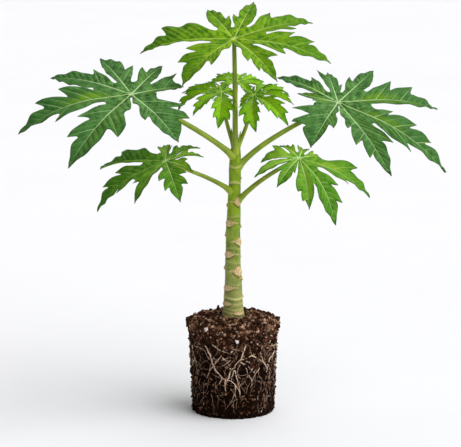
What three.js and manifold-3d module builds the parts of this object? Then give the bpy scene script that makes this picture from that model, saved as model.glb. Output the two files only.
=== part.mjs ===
// A papaya seedling lifted out of its pot, standing on its own root ball.
// Lengths are millimetres and angles are degrees. +Z is up and -Y is the front.
// The origin is the centre of the root ball's flat underside.

import * as THREE from 'three';
import { mergeVertices } from 'three/addons/utils/BufferGeometryUtils.js';
import Module from 'manifold-3d';

// Clearance between solids that touch on the real plant
const CLEARANCE = 0.3;

// The root ball keeps the shape of the round nursery pot that it grew in
const BALL = { foot: 68, footEdge: 2, rim: 79, rimHeight: 151, height: 167.7, sides: 40 };
// Its rounded shoulder and the low mound round the trunk, as [radius, height]
const BALL_TOP = [[78, 156], [73, 160], [59, 163.7], [24, BALL.height], [0, BALL.height]];

// The trunk's centre line leans a little to the right as it rises
const TRUNK_FOOT = BALL.height + CLEARANCE;
const TRUNK_LINE = [[0, 0, TRUNK_FOOT], [-0.5, 0, 260], [0, 0, 325], [2, 0, 385], [3.5, 0, 430], [4, 0, 468]];
// Height and radius, from the root flare up to the growing tip
const TRUNK_TAPER = [
  [TRUNK_FOOT, 18.6], [172, 17.6], [182, 16.8], [198, 16], [214, 15.2], [232, 14.2], [266, 13], [300, 12.4],
  [330, 12], [356, 11.2], [385, 10.4], [398, 10], [418, 10.4], [440, 9.6], [452, 8.4], [461, 6.4], [466, 4],
  [468, 1.6],
];
const TRUNK_STEPS = 28;
const TRUNK_SIDES = 16;
// The lowest ring of its skin is made level, and nothing else lies within this height of its foot
const FOOT_TRIM = 1.5;

// Every lobe's side veins leave its midrib at this angle
const SIDE_VEIN = 42;
// The cut between two lobes reaches in to this share of their length unless the lobe before it has its own,
// and opens at this angle at most
const CUT = 0.27;
const WIDEST_CUT = 40;
// A lobe keeps this far from the line halfway to its neighbour, measured at the hub
const LOBE_GAP = 1.3;
// The middle of a blade rises to both sides of a midrib, then arches over again
const FOLD = 15;
const FOLD_ARCH = 0.0028;

// Half a lobe's edge as [along the midrib, out from it], in shares of the lobe's length.
// From the cut it keeps close to the midrib, then each side lobe runs forward to a point and drops back.
const EDGES = {
  // Twin side lobes
  t: [
    [0.3, 0.085], [0.4, 0.17], [0.56, 0.21], [0.5, 0.095], [0.58, 0.13],
    [0.77, 0.17], [0.7, 0.085], [0.8, 0.09], [0.92, 0.035],
  ],
  // Twin side lobes grown together
  m: [
    [0.3, 0.095], [0.4, 0.16], [0.56, 0.165], [0.69, 0.18],
    [0.79, 0.195], [0.7, 0.095], [0.8, 0.095], [0.92, 0.035],
  ],
  // Three side lobes
  s: [
    [0.27, 0.085], [0.39, 0.15], [0.36, 0.085], [0.44, 0.14], [0.6, 0.18], [0.55, 0.08],
    [0.64, 0.115], [0.77, 0.12], [0.71, 0.06], [0.82, 0.07], [0.93, 0.03],
  ],
  // Two side lobes far out
  f: [
    [0.34, 0.095], [0.5, 0.16], [0.66, 0.205], [0.76, 0.2], [0.69, 0.11],
    [0.78, 0.13], [0.89, 0.12], [0.85, 0.07], [0.94, 0.03],
  ],
  // One side lobe on the inner half
  i: [[0.3, 0.085], [0.4, 0.17], [0.56, 0.21], [0.5, 0.1], [0.62, 0.13], [0.75, 0.12], [0.9, 0.05]],
  // The same, then a narrow tip
  n: [[0.32, 0.095], [0.42, 0.17], [0.58, 0.195], [0.52, 0.09], [0.65, 0.092], [0.78, 0.08], [0.92, 0.03]],
  // One side lobe on the outer half
  o: [[0.33, 0.085], [0.47, 0.15], [0.68, 0.205], [0.6, 0.085], [0.7, 0.092], [0.85, 0.06]],
  // One big side lobe that reaches as far as the tip
  b: [[0.38, 0.11], [0.6, 0.2], [0.8, 0.265], [1.02, 0.33], [0.84, 0.18], [0.92, 0.075]],
  // Plain and narrow
  p: [[0.36, 0.095], [0.52, 0.125], [0.67, 0.14], [0.82, 0.095]],
  // Plain and wide
  w: [[0.33, 0.11], [0.45, 0.16], [0.6, 0.17], [0.75, 0.13], [0.9, 0.06]],
};
// The room that each kind of edge takes from the gap between two lobes
const EDGE_ROOM = { t: 1.15, m: 1.15, s: 1.15, f: 1.1, i: 1.15, n: 1, o: 1, b: 1.1, p: 0.72, w: 0.9 };
// How steeply each kind of half stands up from its midrib, once clear of the middle of the blade
const EDGE_FOLD = { t: 15, m: 12, s: 15, f: 18, i: 15, n: 20, o: 18, b: 12, p: 28, w: 13 };
const FOLD_RUN = 0.2;
// Short lobes have one small side lobe, and young ones two
const SHORT_EDGE = [[0.36, 0.095], [0.48, 0.165], [0.63, 0.195], [0.57, 0.1], [0.7, 0.112], [0.85, 0.062]];
const SHORT_LOBE = 80;
const YOUNG_EDGE = [
  [0.3, 0.1], [0.38, 0.165], [0.5, 0.22], [0.44, 0.125], [0.54, 0.18],
  [0.68, 0.22], [0.62, 0.12], [0.83, 0.15], [0.78, 0.085], [0.9, 0.05],
];
// Beside the stalk's notch a lobe also carries a small rounded one
const NOTCH_EDGE = [[0.09, 0.06], [0.14, 0.115], [0.2, 0.13], [0.235, 0.085]];
// The outermost point of those edges, as a slope from the hub
const WIDEST = 0.225 / 0.54;
const WIDTH_SHARE = { least: 0.62, most: 1.25 };
// A lobe spreads over no more than this angle beside its midrib
const WIDEST_HALF = 45;
// One half of a lobe is set this share of its length further out than the other
const STAGGER = 0.03;

// Each leaf: where its hub is, how its blade lies, and its lobes as [spread, length, droop, edges, wide, cut].
// Spread turns anticlockwise from the blade's heading, and droop is how far a lobe bends down by its tip.
// Edges names the edge on the side of growing spread and then the one on the other side, and wide says how
// much wider than usual each is. Cut is the share of two lobes' length that joins this one to the next.
// The stalk leaves the trunk at a height, heading and slope, and arrives under the hub at another slope.
const LEAVES = [
  {
    name: 'upper_left', hub: [-168, -70, 554], heading: 110, rise: 28, roll: -4, colour: '#37733c',
    lobes: [
      [132, 192, 36, 'nt'], [92, 203, 42, 'ot', [1, 0.95], 0.36], [48, 153, 23, 'wi', [1.25, 1]],
      [9, 128, 14, 'wi', [0.9, 1.1]], [-43, 115, 12, 'ow', [0.85, 1]], [-81, 97, 10, 'bp', [1.2, 1]],
      [-157, 128, 26, 'ti', [1.6, 0.85]]],
    stalk: { height: 437, heading: 215, slope: 42, reach: 70,
      arrive: 30, end: 44, base: 5, tip: 3.4, swell: 1.6 },
  },
  {
    name: 'upper_right', hub: [180, 70, 523], heading: 80, rise: 30, roll: 15, colour: '#3a7840',
    lobes: [
      [164, 115, 36, 'nt', [0.8, 2], 0.42], [91, 72, 0, 'pp', [1.3, 1.3]], [64, 127, 24, 'wi', [1.1, 0.9]],
      [19, 84, 4, 'bi', [0.8, 1.2]], [-24, 125, 2, 'iw', [0.85, 1.3], 0.38], [-63, 203, 27, 'tp', [1.15, 1.3]],
      [-105, 225, 37, 'so', [0.8, 1.2], 0.38], [-140, 176, 21, 'os', [1.6, 0.8]]],
    stalk: { height: 416, heading: 22, slope: 49, reach: 74,
      arrive: 28, end: 40, base: 5, tip: 3.4, swell: 1.6 },
  },
  {
    name: 'top', hub: [1, 0, 639], heading: 77, rise: 29, roll: 2, colour: '#5f9a2c',
    lobes: [
      [145, 129, 39, 'nt', [0.8, 1.25]], [94, 169, 30, 'pm', [0.8, 1.15]], [35, 116, 11, 'wi', [0.75, 1]],
      [-5, 122, 8, 'iw'], [-52, 152, 24, 'io', [1, 1.2], 0.34], [-92, 171, 33, 'ti', [1.1, 0.9]],
      [-133, 124, 31, 'ot', [1.5, 0.65]]],
    stalk: { height: 440, heading: 268, slope: 56, reach: 40,
      arrive: 88, end: 70, base: 5, tip: 3.5, swell: 0.6 },
  },
  {
    name: 'lower_left', hub: [-113, -50, 440], heading: 76, rise: 23, roll: -9, colour: '#4a8f2a',
    lobes: [
      [157, 102, 38, 'po', [1.2, 1.6], 0.42], [125, 146, 43, 'ot', [1.8, 0.9]], [75, 144, 25, 'pm', [1.5, 1]],
      [12, 76, 22], [-32, 80, 38, 'ip'], [-62, 67, 41, 'pp', [1.3, 2]], [-116, 60, 31],
      [-155, 107, 43, 'tt', [1.15, 0.8]]],
    stalk: { height: 376, heading: 216, slope: 40, reach: 52,
      arrive: 30, end: 26, base: 4.2, tip: 2.8, swell: 1.8 },
  },
  {
    name: 'lower_right', hub: [110, -30, 442], heading: 78, rise: 20, roll: 15, colour: '#4f9428',
    lobes: [
      [166, 86, 33, 'io', [1.4, 1.5]], [136, 93, 37], [107, 67, 42, 'pp', [1.4, 1.4]], [42, 60, 34],
      [-2, 60, 44], [-46, 56, 40, 'pp', [1, 1], 0.4], [-95, 139, 37, 'oo', [1, 1.1]],
      [-139, 150, 51, 'tw', [0.85, 1.4], 0.55], [-159, 122, 34, 'pf', [1, 1.15]]],
    stalk: { height: 355, heading: -14, slope: 54, reach: 54,
      arrive: 30, end: 26, base: 4.6, tip: 3.1, swell: 1.4 },
  },
  {
    name: 'young_left', hub: [-20, 25, 547], heading: 139, rise: 19, roll: -8, colour: '#6aa61e', young: true,
    lobes: [
      [133, 89, 61], [93, 78, 60], [64, 92, 74], [36, 70, 40], [0, 60, 50], [-42, 52, 50], [-92, 36, 45],
      [-150, 33, 60]],
    stalk: { height: 452, heading: 160, slope: 66, reach: 40,
      arrive: 84, end: 22, base: 3.6, tip: 2.7, swell: 0.6 },
  },
  {
    name: 'young_right', hub: [34, 26, 541], heading: 49, rise: 25, roll: -1, colour: '#65a31c', young: true,
    lobes: [
      [160, 34, 84], [104, 28, 50], [50, 50, 50], [6, 62, 62], [-38, 66, 60], [-73, 76, 56], [-109, 104, 58],
      [-145, 90, 56]],
    stalk: { height: 450, heading: 20, slope: 60, reach: 40,
      arrive: 84, end: 22, base: 3.6, tip: 2.7, swell: 0.6 },
  },
  {
    name: 'young_back', hub: [6, 105, 556], heading: 82, rise: 14, roll: 6, colour: '#6fac22', young: true,
    lobes: [
      [140, 46, 50], [94, 54, 42], [46, 56, 30], [0, 60, 34], [-46, 58, 35], [-90, 66, 46], [-138, 50, 50]],
    stalk: { height: 446, heading: 92, slope: 52, reach: 60,
      arrive: 40, end: 30, base: 2.9, tip: 2, swell: 0.6 },
  },
];
// A blade is a hundredth of its span thick, which is this share of its longest lobe
const BLADE = { thicknessShare: 0.018, midribSteps: 6, firstRib: 0.14, notch: 10, youngNotch: 6 };
const STALK = { steps: 13, sides: 8, swellLength: 12, past: 8 };

// Roots that show on the ball's side, as [angle from the front, height] down the main root, with a side root
const ROOTS = [
  { line: [[16, 129], [12, 117], [9, 105], [2, 95], [-5, 82]], radius: 1.7,
    side: [[9, 105], [18, 108], [24, 111], [31, 113]] },
  { line: [[-40, 125], [-34, 116], [-31, 106], [-27, 92], [-17, 75], [-11, 69], [-4, 69], [2, 62], [8, 51]],
    radius: 1.8, side: [[-11, 69], [-11, 58], [-10, 42]] },
  { line: [[69, 112], [59, 99], [53, 87], [49, 77]], radius: 1.5,
    side: [[51, 83], [42, 100], [38, 115], [42, 125]] },
  { line: [[-67, 120], [-68, 107], [-58, 92], [-53, 78]], radius: 1.3,
    side: [[-63, 98], [-70, 88], [-72, 76]] },
];
// The same roots again round the rest of the ball, as [which one, the angle of its middle]
const ROOTS_ROUND = [[0, 91], [3, 122], [2, 150], [0, 187], [3, 218], [2, 247], [3, 273]];
const ROOT = { steps: 12, sides: 5, tipShare: 0.4, branchShare: 0.75 };

const SOIL_COLOUR = '#4a3528';
const ROOT_COLOUR = '#b08d68';
const BARK_COLOUR = '#84903f';
const STALK_COLOUR = '#8a9a38';

const wasm = await Module();
wasm.setup();

const radians = THREE.MathUtils.degToRad;

// The value at a place, read between the rows of a table of [place, value]
function readBetween(table, place) {
  if (place <= table[0][0]) return table[0][1];
  for (let i = 1; i < table.length; i++) {
    const [before, low] = table[i - 1];
    const [after, high] = table[i];
    if (place <= after) return low + ((high - low) * (place - before)) / (after - before);
  }
  return table[table.length - 1][1];
}

function direction(heading, slope) {
  const flat = Math.cos(radians(slope));
  return new THREE.Vector3(
    Math.cos(radians(heading)) * flat, Math.sin(radians(heading)) * flat, Math.sin(radians(slope)));
}

function indexedGeometry(points, triangles) {
  const geometry = new THREE.BufferGeometry();
  const numbers = points.flatMap((point) => point.toArray());
  geometry.setAttribute('position', new THREE.Float32BufferAttribute(numbers, 3));
  geometry.setIndex(triangles.flat());
  return geometry;
}

// A closed skin over rings of the same count, with a flat fan at each end
function skinRings(rings) {
  const count = rings[0].length;
  const points = rings.flat();
  const triangles = [];
  for (let k = 0; k + 1 < rings.length; k++) {
    for (let i = 0; i < count; i++) {
      const a = k * count + i;
      const b = k * count + ((i + 1) % count);
      triangles.push([a, b, b + count], [a, b + count, a + count]);
    }
  }
  const middle = (ring) => ring.reduce((sum, p) => sum.add(p), new THREE.Vector3()).divideScalar(count);
  const first = points.push(middle(rings[0])) - 1;
  const last = points.push(middle(rings[rings.length - 1])) - 1;
  const top = (rings.length - 1) * count;
  for (let i = 0; i < count; i++) {
    const next = (i + 1) % count;
    triangles.push([first, next, i], [last, top + i, top + next]);
  }
  return indexedGeometry(points, triangles);
}

// A round limb along a curve, with its radius given for each share of the way
function limb(curve, steps, sides, radiusAt) {
  const frames = curve.computeFrenetFrames(steps, false);
  const rings = [];
  for (let k = 0; k <= steps; k++) {
    const centre = curve.getPointAt(k / steps);
    const radius = radiusAt(k / steps, centre);
    const ring = [];
    for (let i = 0; i < sides; i++) {
      const angle = (2 * Math.PI * i) / sides;
      const out = frames.normals[k].clone().multiplyScalar(Math.cos(angle))
        .addScaledVector(frames.binormals[k], Math.sin(angle));
      ring.push(centre.clone().addScaledVector(out, radius));
    }
    rings.push(ring);
  }
  return skinRings(rings);
}

function toSolid(geometry) {
  const bare = geometry.clone();
  bare.deleteAttribute('normal');
  bare.deleteAttribute('uv');
  const merged = mergeVertices(bare, 1e-4);
  return new wasm.Manifold(new wasm.Mesh({
    numProp: 3,
    vertProperties: new Float32Array(merged.attributes.position.array),
    triVerts: new Uint32Array(merged.index.array),
  }));
}

function toGeometry(solid) {
  const mesh = solid.getMesh();
  const geometry = new THREE.BufferGeometry();
  geometry.setAttribute('position', new THREE.BufferAttribute(new Float32Array(mesh.vertProperties), 3));
  geometry.setIndex(new THREE.BufferAttribute(new Uint32Array(mesh.triVerts), 1));
  return geometry;
}

// The ball is turned from its pot's outline: flat foot, straight taper, rounded shoulder and low mound
function rootBall() {
  const { foot, footEdge, rim, rimHeight, sides } = BALL;
  const outline = [[0, 0], [foot - footEdge, 0], [foot, footEdge], [rim, rimHeight], ...BALL_TOP];
  const profile = outline.map(([radius, height]) => new THREE.Vector2(radius, height));
  return new THREE.LatheGeometry(profile, sides).rotateX(Math.PI / 2);
}

// The point of the trunk's centre line at a height
function trunkCentre(height) {
  return new THREE.Vector3(readBetween(TRUNK_LINE.map(([x, , z]) => [z, x]), height), 0, height);
}

// The trunk's skin, or with a margin the space that its neighbours leave free
function trunk(margin = 0) {
  const curve = new THREE.CatmullRomCurve3(TRUNK_LINE.map((p) => new THREE.Vector3(...p)));
  const radiusAt = (share, { z }) => readBetween(TRUNK_TAPER, z) + margin;
  const geometry = limb(curve, TRUNK_STEPS, TRUNK_SIDES, radiusAt);
  // The foot is cut flat and level
  const position = geometry.attributes.position;
  for (let i = 0; i < position.count; i++) {
    if (position.getZ(i) < TRUNK_FOOT + FOOT_TRIM) position.setZ(i, TRUNK_FOOT);
  }
  return geometry;
}

// The blade's own axes: ahead towards its middle lobe, left across it, and up out of its upper face
function bladeAxes({ heading, rise, roll }) {
  const ahead = direction(heading, rise);
  const level = direction(heading + 90, 0);
  const above = new THREE.Vector3().crossVectors(ahead, level);
  const left = level.multiplyScalar(Math.cos(radians(roll))).addScaledVector(above, Math.sin(radians(roll)));
  return { ahead, left, up: new THREE.Vector3().crossVectors(ahead, left) };
}

function bladeThickness(leaf) {
  return BLADE.thicknessShare * Math.max(...leaf.lobes.map(([, length]) => length));
}

function readLobe([spread, length, droop, edges = 'pp', wide = [1, 1], cut = CUT]) {
  return { spread, length, droop, edges, wide, cut };
}

// The kind of edge on one side of a lobe
function edgeKind(leaf, { length, edges }, side) {
  if (leaf.young || length < SHORT_LOBE) return 'p';
  return edges[side === 1 ? 0 : 1];
}

// Each lobe with its midrib's direction and, on each side, its edge, its cut and its share of the gap
function spreadLobes(leaf) {
  const { ahead, left } = bladeAxes(leaf);
  const towards = (spread) => ahead.clone().multiplyScalar(Math.cos(radians(spread)))
    .addScaledVector(left, Math.sin(radians(spread)));
  return leaf.lobes.map(readLobe).map((lobe, i, all) => {
    // Side 1 is the side of growing spread, where the lobe before this one stands
    const neighbour = (side) => {
      const notch = !all[i - side];
      const other = all[(i - side + all.length) % all.length];
      const apart = Math.abs(other.spread - lobe.spread);
      const kind = edgeKind(leaf, lobe, side);
      const rooms = EDGE_ROOM[kind] + EDGE_ROOM[edgeKind(leaf, other, -side)];
      const half = ((notch ? 360 - apart : apart) * EDGE_ROOM[kind]) / rooms;
      const notchCut = leaf.young ? BLADE.youngNotch : BLADE.notch;
      const share = (side === 1 ? other : lobe).cut;
      const cut = notch ? notchCut : share * Math.sqrt(lobe.length * other.length);
      return { notch, half, cut, kind, wide: lobe.wide[side === 1 ? 0 : 1] };
    };
    const { spread, length, droop } = lobe;
    const sides = { 1: neighbour(1), '-1': neighbour(-1) };
    return { length, droop, sides, along: towards(spread), across: towards(spread + 90) };
  });
}

function foldAngle(lobe, along, across) {
  const { kind } = lobe.sides[across < 0 ? -1 : 1];
  const share = THREE.MathUtils.clamp((along / lobe.length - CUT) / FOLD_RUN, 0, 1);
  return FOLD + (EDGE_FOLD[kind] - FOLD) * share;
}

// Where a flat point of a lobe lies in space: bent down past the cut, and folded up beside the midrib
function foldedPoint(leaf, lobe, along, across) {
  const start = CUT * lobe.length;
  const bend = radians(Math.max(lobe.droop, 0.1)) / (lobe.length - start);
  const turn = bend * Math.max(0, along - start);
  const forward = Math.min(along, start) + Math.sin(turn) / bend;
  const down = (1 - Math.cos(turn)) / bend;
  const out = Math.abs(across);
  const fold = foldAngle(lobe, along, across);
  const lift = Math.max(0, Math.tan(radians(fold)) * out - FOLD_ARCH * out * out);
  return new THREE.Vector3(...leaf.hub)
    .addScaledVector(lobe.along, forward + Math.sin(turn) * lift)
    .addScaledVector(lobe.across, across)
    .addScaledVector(bladeAxes(leaf).up, Math.cos(turn) * lift - down);
}

// The edge of one half of a lobe, from the cut to the tip, as [along, across]
function halfEdge(leaf, lobe, side) {
  const { half, cut, notch, kind, wide } = lobe.sides[side];
  const slope = Math.tan(radians(Math.min(half, WIDEST_HALF) - LOBE_GAP));
  const width = wide * THREE.MathUtils.clamp(slope / WIDEST, WIDTH_SHARE.least, WIDTH_SHARE.most);
  const open = radians(Math.min(half, WIDEST_CUT));
  const fullShape = lobe.length < SHORT_LOBE ? SHORT_EDGE : EDGES[kind];
  const shape = leaf.young ? YOUNG_EDGE : fullShape;
  const points = (notch ? [...NOTCH_EDGE, ...shape] : shape).map(([along, across]) => {
    const place = along + (side * STAGGER * (1 - along)) / 2;
    return [place * lobe.length, Math.min(across * width, place * slope) * lobe.length];
  });
  return [[cut * Math.cos(open), cut * Math.sin(open)], ...points, [lobe.length, 0]];
}

// Triangles between two lines of [place, vertex], always stepping along the line that lags behind
function fillBetween(spine, edge) {
  const triangles = [];
  let i = 0;
  let j = 0;
  while (i < spine.length - 1 || j < edge.length - 1) {
    const alongSpine = j === edge.length - 1 || (i < spine.length - 1 && spine[i + 1][0] <= edge[j + 1][0]);
    const next = alongSpine ? spine[i + 1][1] : edge[j + 1][1];
    if (next !== spine[i][1] && next !== edge[j][1]) triangles.push([spine[i][1], next, edge[j][1]]);
    if (alongSpine) i += 1;
    else j += 1;
  }
  return triangles;
}

// One blade: each half lobe is a strip between its midrib and its edge, all meeting at the hub
function blade(leaf) {
  const points = [new THREE.Vector3(...leaf.hub)];
  const triangles = [];
  const cutVertex = new Map();
  const lobes = spreadLobes(leaf);
  const add = (lobe, along, across) => points.push(foldedPoint(leaf, lobe, along, across)) - 1;

  lobes.forEach((lobe, index) => {
    const spine = [[0, 0]];
    for (let k = 0; k <= BLADE.midribSteps; k++) {
      const place = lobe.length * (BLADE.firstRib + ((1 - BLADE.firstRib) * k) / BLADE.midribSteps);
      spine.push([place, add(lobe, place, 0)]);
    }
    for (const side of [1, -1]) {
      // Neighbours share the vertex at the bottom of the cut between them
      const shared = side === 1 ? (index + lobes.length - 1) % lobes.length : index;
      const edge = halfEdge(leaf, lobe, side).map(([along, across], k, all) => {
        const place = along - across / Math.tan(radians(SIDE_VEIN));
        if (k === all.length - 1) return spine[spine.length - 1];
        if (k === 0 && cutVertex.has(shared)) return [place, cutVertex.get(shared)];
        const vertex = add(lobe, along, side * across);
        if (k === 0) cutVertex.set(shared, vertex);
        return [place, vertex];
      });
      // The hub's own triangle starts the strip, and the other half of the lobe is wound the other way
      const strip = [[0, spine[1][1], edge[0][1]], ...fillBetween(spine.slice(1), edge)];
      triangles.push(...strip.map(([a, b, c]) => (side === 1 ? [a, b, c] : [a, c, b])));
    }
  });
  return thicken(points, triangles, bladeThickness(leaf));
}

// A sheet of triangles made solid: a second face below the first, and a wall round the open edge
function thicken(points, triangles, thickness) {
  const sheet = indexedGeometry(points, triangles);
  sheet.computeVertexNormals();
  const normal = new THREE.Vector3();
  const below = points.map((p, i) => p.clone()
    .addScaledVector(normal.fromBufferAttribute(sheet.attributes.normal, i), -thickness));
  const count = points.length;
  const faces = [...triangles, ...triangles.map(([a, b, c]) => [a + count, c + count, b + count])];
  const used = new Set(triangles.flatMap(([a, b, c]) => [`${a},${b}`, `${b},${c}`, `${c},${a}`]));
  for (const edge of used) {
    const [a, b] = edge.split(',').map(Number);
    if (used.has(`${b},${a}`)) continue;
    faces.push([b, a, a + count], [b, a + count, b + count]);
  }
  return indexedGeometry([...points, ...below], faces);
}

// The space from just under a blade's hub upwards, which its stalk is cut by
function aboveHub(leaf) {
  const { ahead, left, up } = bladeAxes(leaf);
  const reach = 2 * STALK.past;
  const box = new THREE.BoxGeometry(4 * reach, 4 * reach, reach);
  box.translate(0, 0, reach / 2 - bladeThickness(leaf) - CLEARANCE);
  return toSolid(box.applyMatrix4(new THREE.Matrix4().makeBasis(ahead, left, up).setPosition(...leaf.hub)));
}

// A leaf stalk springs out of the trunk's skin and bends up to the underside of its blade
function stalk(leaf, trunkSpace) {
  const { height, heading, slope, reach, arrive, end, base, tip, swell } = leaf.stalk;
  const from = trunkCentre(height);
  const hub = new THREE.Vector3(...leaf.hub);
  const way = hub.clone().sub(from);
  const arrival = direction(THREE.MathUtils.radToDeg(Math.atan2(way.y, way.x)), arrive);
  const leaving = from.clone().addScaledVector(direction(heading, slope), reach);
  const arriving = hub.clone().addScaledVector(arrival, -end);
  const curve = new THREE.CubicBezierCurve3(from, leaving, arriving, hub);
  const length = curve.getLength();
  const skin = readBetween(TRUNK_TAPER, height);
  const radiusAt = (share) => {
    const cuff = swell * Math.exp(-Math.max(0, share * length - skin) / STALK.swellLength);
    return base + (tip - base) * share + cuff;
  };
  const solid = toSolid(limb(curve, STALK.steps, STALK.sides, radiusAt));
  return toGeometry(solid.subtract(trunkSpace).subtract(aboveHub(leaf)));
}

// The ball's radius at a height on its straight side
function ballRadius(height) {
  return readBetween([[BALL.footEdge, BALL.foot], [BALL.rimHeight, BALL.rim]], height);
}

// One strand of root that lies on the ball's side, thinning to its tip
function rootStrand(line, turn, radius, startShare) {
  const points = line.map(([angle, height]) => {
    const reach = ballRadius(height) + CLEARANCE + radius;
    return direction(angle + turn - 90, 0).multiplyScalar(reach).setZ(height);
  });
  const thin = (share) => radius * (startShare - (startShare - ROOT.tipShare) * share);
  return toSolid(limb(new THREE.CatmullRomCurve3(points), ROOT.steps, ROOT.sides, thin));
}

function root({ line, radius, side }, turn) {
  const main = rootStrand(line, turn, radius, 1);
  return toGeometry(main.add(rootStrand(side, turn, radius, ROOT.branchShare)));
}

// The angle of the middle of a root with its side root
function rootMiddle({ line, side }) {
  const angles = [...line, ...side].map(([angle]) => angle);
  return (Math.min(...angles) + Math.max(...angles)) / 2;
}

const plant = new THREE.Group();

function addMesh(name, geometry, colour, roughness) {
  const material = new THREE.MeshStandardMaterial({ color: colour, roughness, metalness: 0 });
  const mesh = new THREE.Mesh(geometry, material);
  mesh.name = name;
  plant.add(mesh);
}

addMesh('root_ball', rootBall(), SOIL_COLOUR, 0.95);
addMesh('trunk', trunk(), BARK_COLOUR, 0.6);
const trunkSpace = toSolid(trunk(CLEARANCE));
for (const leaf of LEAVES) {
  addMesh(`stalk_${leaf.name}`, stalk(leaf, trunkSpace), STALK_COLOUR, 0.5);
  addMesh(`leaf_${leaf.name}`, blade(leaf), leaf.colour, 0.55);
}
ROOTS.forEach((shape, i) => addMesh(`root_front_${i + 1}`, root(shape, 0), ROOT_COLOUR, 0.8));
ROOTS_ROUND.forEach(([which, angle], i) => {
  const turn = angle - rootMiddle(ROOTS[which]);
  addMesh(`root_round_${i + 1}`, root(ROOTS[which], turn), ROOT_COLOUR, 0.8);
});

export default plant;
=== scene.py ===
"""Looks for a papaya seedling that stands on its root ball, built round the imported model.

Tables and sizes are in millimetres and degrees, as in the part's own source. Meshes are made in metres, in
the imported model's frame: +Z is up, -Y is the front, and the origin is under the middle of the root ball.
"""

from __future__ import annotations

import logging
import math
from dataclasses import dataclass, field
from enum import Enum
from typing import Any, Sequence

import bpy
import numpy as np
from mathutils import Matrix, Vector
from mathutils.bvhtree import BVHTree


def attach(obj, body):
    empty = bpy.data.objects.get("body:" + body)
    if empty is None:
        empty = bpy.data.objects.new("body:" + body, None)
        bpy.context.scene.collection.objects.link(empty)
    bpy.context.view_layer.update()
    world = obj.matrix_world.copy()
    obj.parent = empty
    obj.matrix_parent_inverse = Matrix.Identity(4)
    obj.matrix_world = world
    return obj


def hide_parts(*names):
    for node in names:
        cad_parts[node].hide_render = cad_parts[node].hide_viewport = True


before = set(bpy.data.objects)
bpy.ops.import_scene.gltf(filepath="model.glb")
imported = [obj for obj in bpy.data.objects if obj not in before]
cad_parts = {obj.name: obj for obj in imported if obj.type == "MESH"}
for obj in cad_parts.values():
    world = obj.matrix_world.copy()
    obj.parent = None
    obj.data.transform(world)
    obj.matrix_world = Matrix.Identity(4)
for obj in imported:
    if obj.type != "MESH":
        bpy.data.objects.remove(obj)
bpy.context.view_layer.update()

LOG = logging.getLogger("papaya_seedling")
BODY = "root"
MM = 0.001

Array = np.ndarray
Colour = tuple[float, float, float, float]
# A root, rib or stalk: its points, and its radius at each
Strand = tuple[Array, Array]


def linear(hex_colour: str) -> Colour:
    """Turns an sRGB hex colour into the linear colour that shaders take.

    Args:
        hex_colour: The colour as "#rrggbb".

    Returns:
        Its linear red, green and blue, and full opacity.
    """
    channels = [int(hex_colour[i : i + 2], 16) / 255 for i in (1, 3, 5)]
    toned = [c / 12.92 if c <= 0.04045 else ((c + 0.055) / 1.055) ** 2.4 for c in channels]
    return (toned[0], toned[1], toned[2], 1.0)


def direction(heading: float, slope: float) -> Array:
    """Gives the unit vector at a heading round +Z, anticlockwise from +X, and a slope above level."""
    turn, climb = math.radians(heading), math.radians(slope)
    return np.array([math.cos(turn) * math.cos(climb), math.sin(turn) * math.cos(climb), math.sin(climb)])


def ease(value: Array | float, start: float, end: float) -> Array:
    """Rises smoothly from 0 at start to 1 at end."""
    share = np.clip((np.asarray(value, float) - start) / (end - start), 0, 1)
    return share * share * (3 - 2 * share)


def bump(value: Array, middle: float, width: float) -> Array:
    """Gives a smooth bump that is 1 in its middle and fades over its width on both sides."""
    return np.exp(-(((value - middle) / width) ** 2))


def rounded(points: Array, rounds: int = 3) -> Array:
    """Rounds a line of points by cutting its corners, and keeps its two ends.

    Args:
        points: The line, one point a row.
        rounds: How many times each corner is cut.

    Returns:
        The rounded line, with about twice the points for each round.
    """
    for _ in range(rounds):
        near, far = points[:-1] * 0.75 + points[1:] * 0.25, points[:-1] * 0.25 + points[1:] * 0.75
        inner = np.stack([near, far], axis=1).reshape(-1, points.shape[1])
        points = np.vstack([points[:1], inner, points[-1:]])
    return points


def evenly(points: Array, step: float) -> Array:
    """Places points along a line at an even step.

    Args:
        points: The line, one point a row.
        step: About how far apart the new points are.

    Returns:
        The new points, with both ends of the line among them.
    """
    reach = np.concatenate([[0], np.cumsum(np.linalg.norm(np.diff(points, axis=0), axis=1))])
    marks = np.linspace(0, reach[-1], max(2, round(reach[-1] / step) + 1))
    return np.column_stack([np.interp(marks, reach, column) for column in points.T])


def select_only(piece: bpy.types.Object | None = None) -> None:
    """Deselects everything in object mode, then selects and activates one piece if it is given.

    Args:
        piece: The mesh object, or None to leave nothing selected.
    """
    if bpy.context.object and bpy.context.object.mode != "OBJECT":
        bpy.ops.object.mode_set(mode="OBJECT")
    bpy.ops.object.select_all(action="DESELECT")
    if piece:
        piece.select_set(True)
        bpy.context.view_layer.objects.active = piece


def apply_modifier(piece: bpy.types.Object, kind: str, **settings: Any) -> None:
    """Adds one modifier to a piece and applies it.

    Args:
        piece: The mesh object.
        kind: The modifier's type.
        settings: The modifier's own settings.
    """
    select_only(piece)
    modifier = piece.modifiers.new(kind.lower(), kind)
    for key, value in settings.items():
        setattr(modifier, key, value)
    bpy.ops.object.modifier_apply(modifier=modifier.name)


def points_of(piece: bpy.types.Object) -> Array:
    """Reads a mesh's vertices.

    Args:
        piece: The mesh object.

    Returns:
        The vertices in millimetres, one a row.
    """
    flat = np.empty(len(piece.data.vertices) * 3)
    piece.data.vertices.foreach_get("co", flat)
    return flat.reshape(-1, 3) / MM


def move_points(piece: bpy.types.Object, points: Array) -> None:
    """Moves a mesh's vertices to new places in millimetres."""
    piece.data.vertices.foreach_set("co", (points * MM).ravel())
    piece.data.update()


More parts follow.
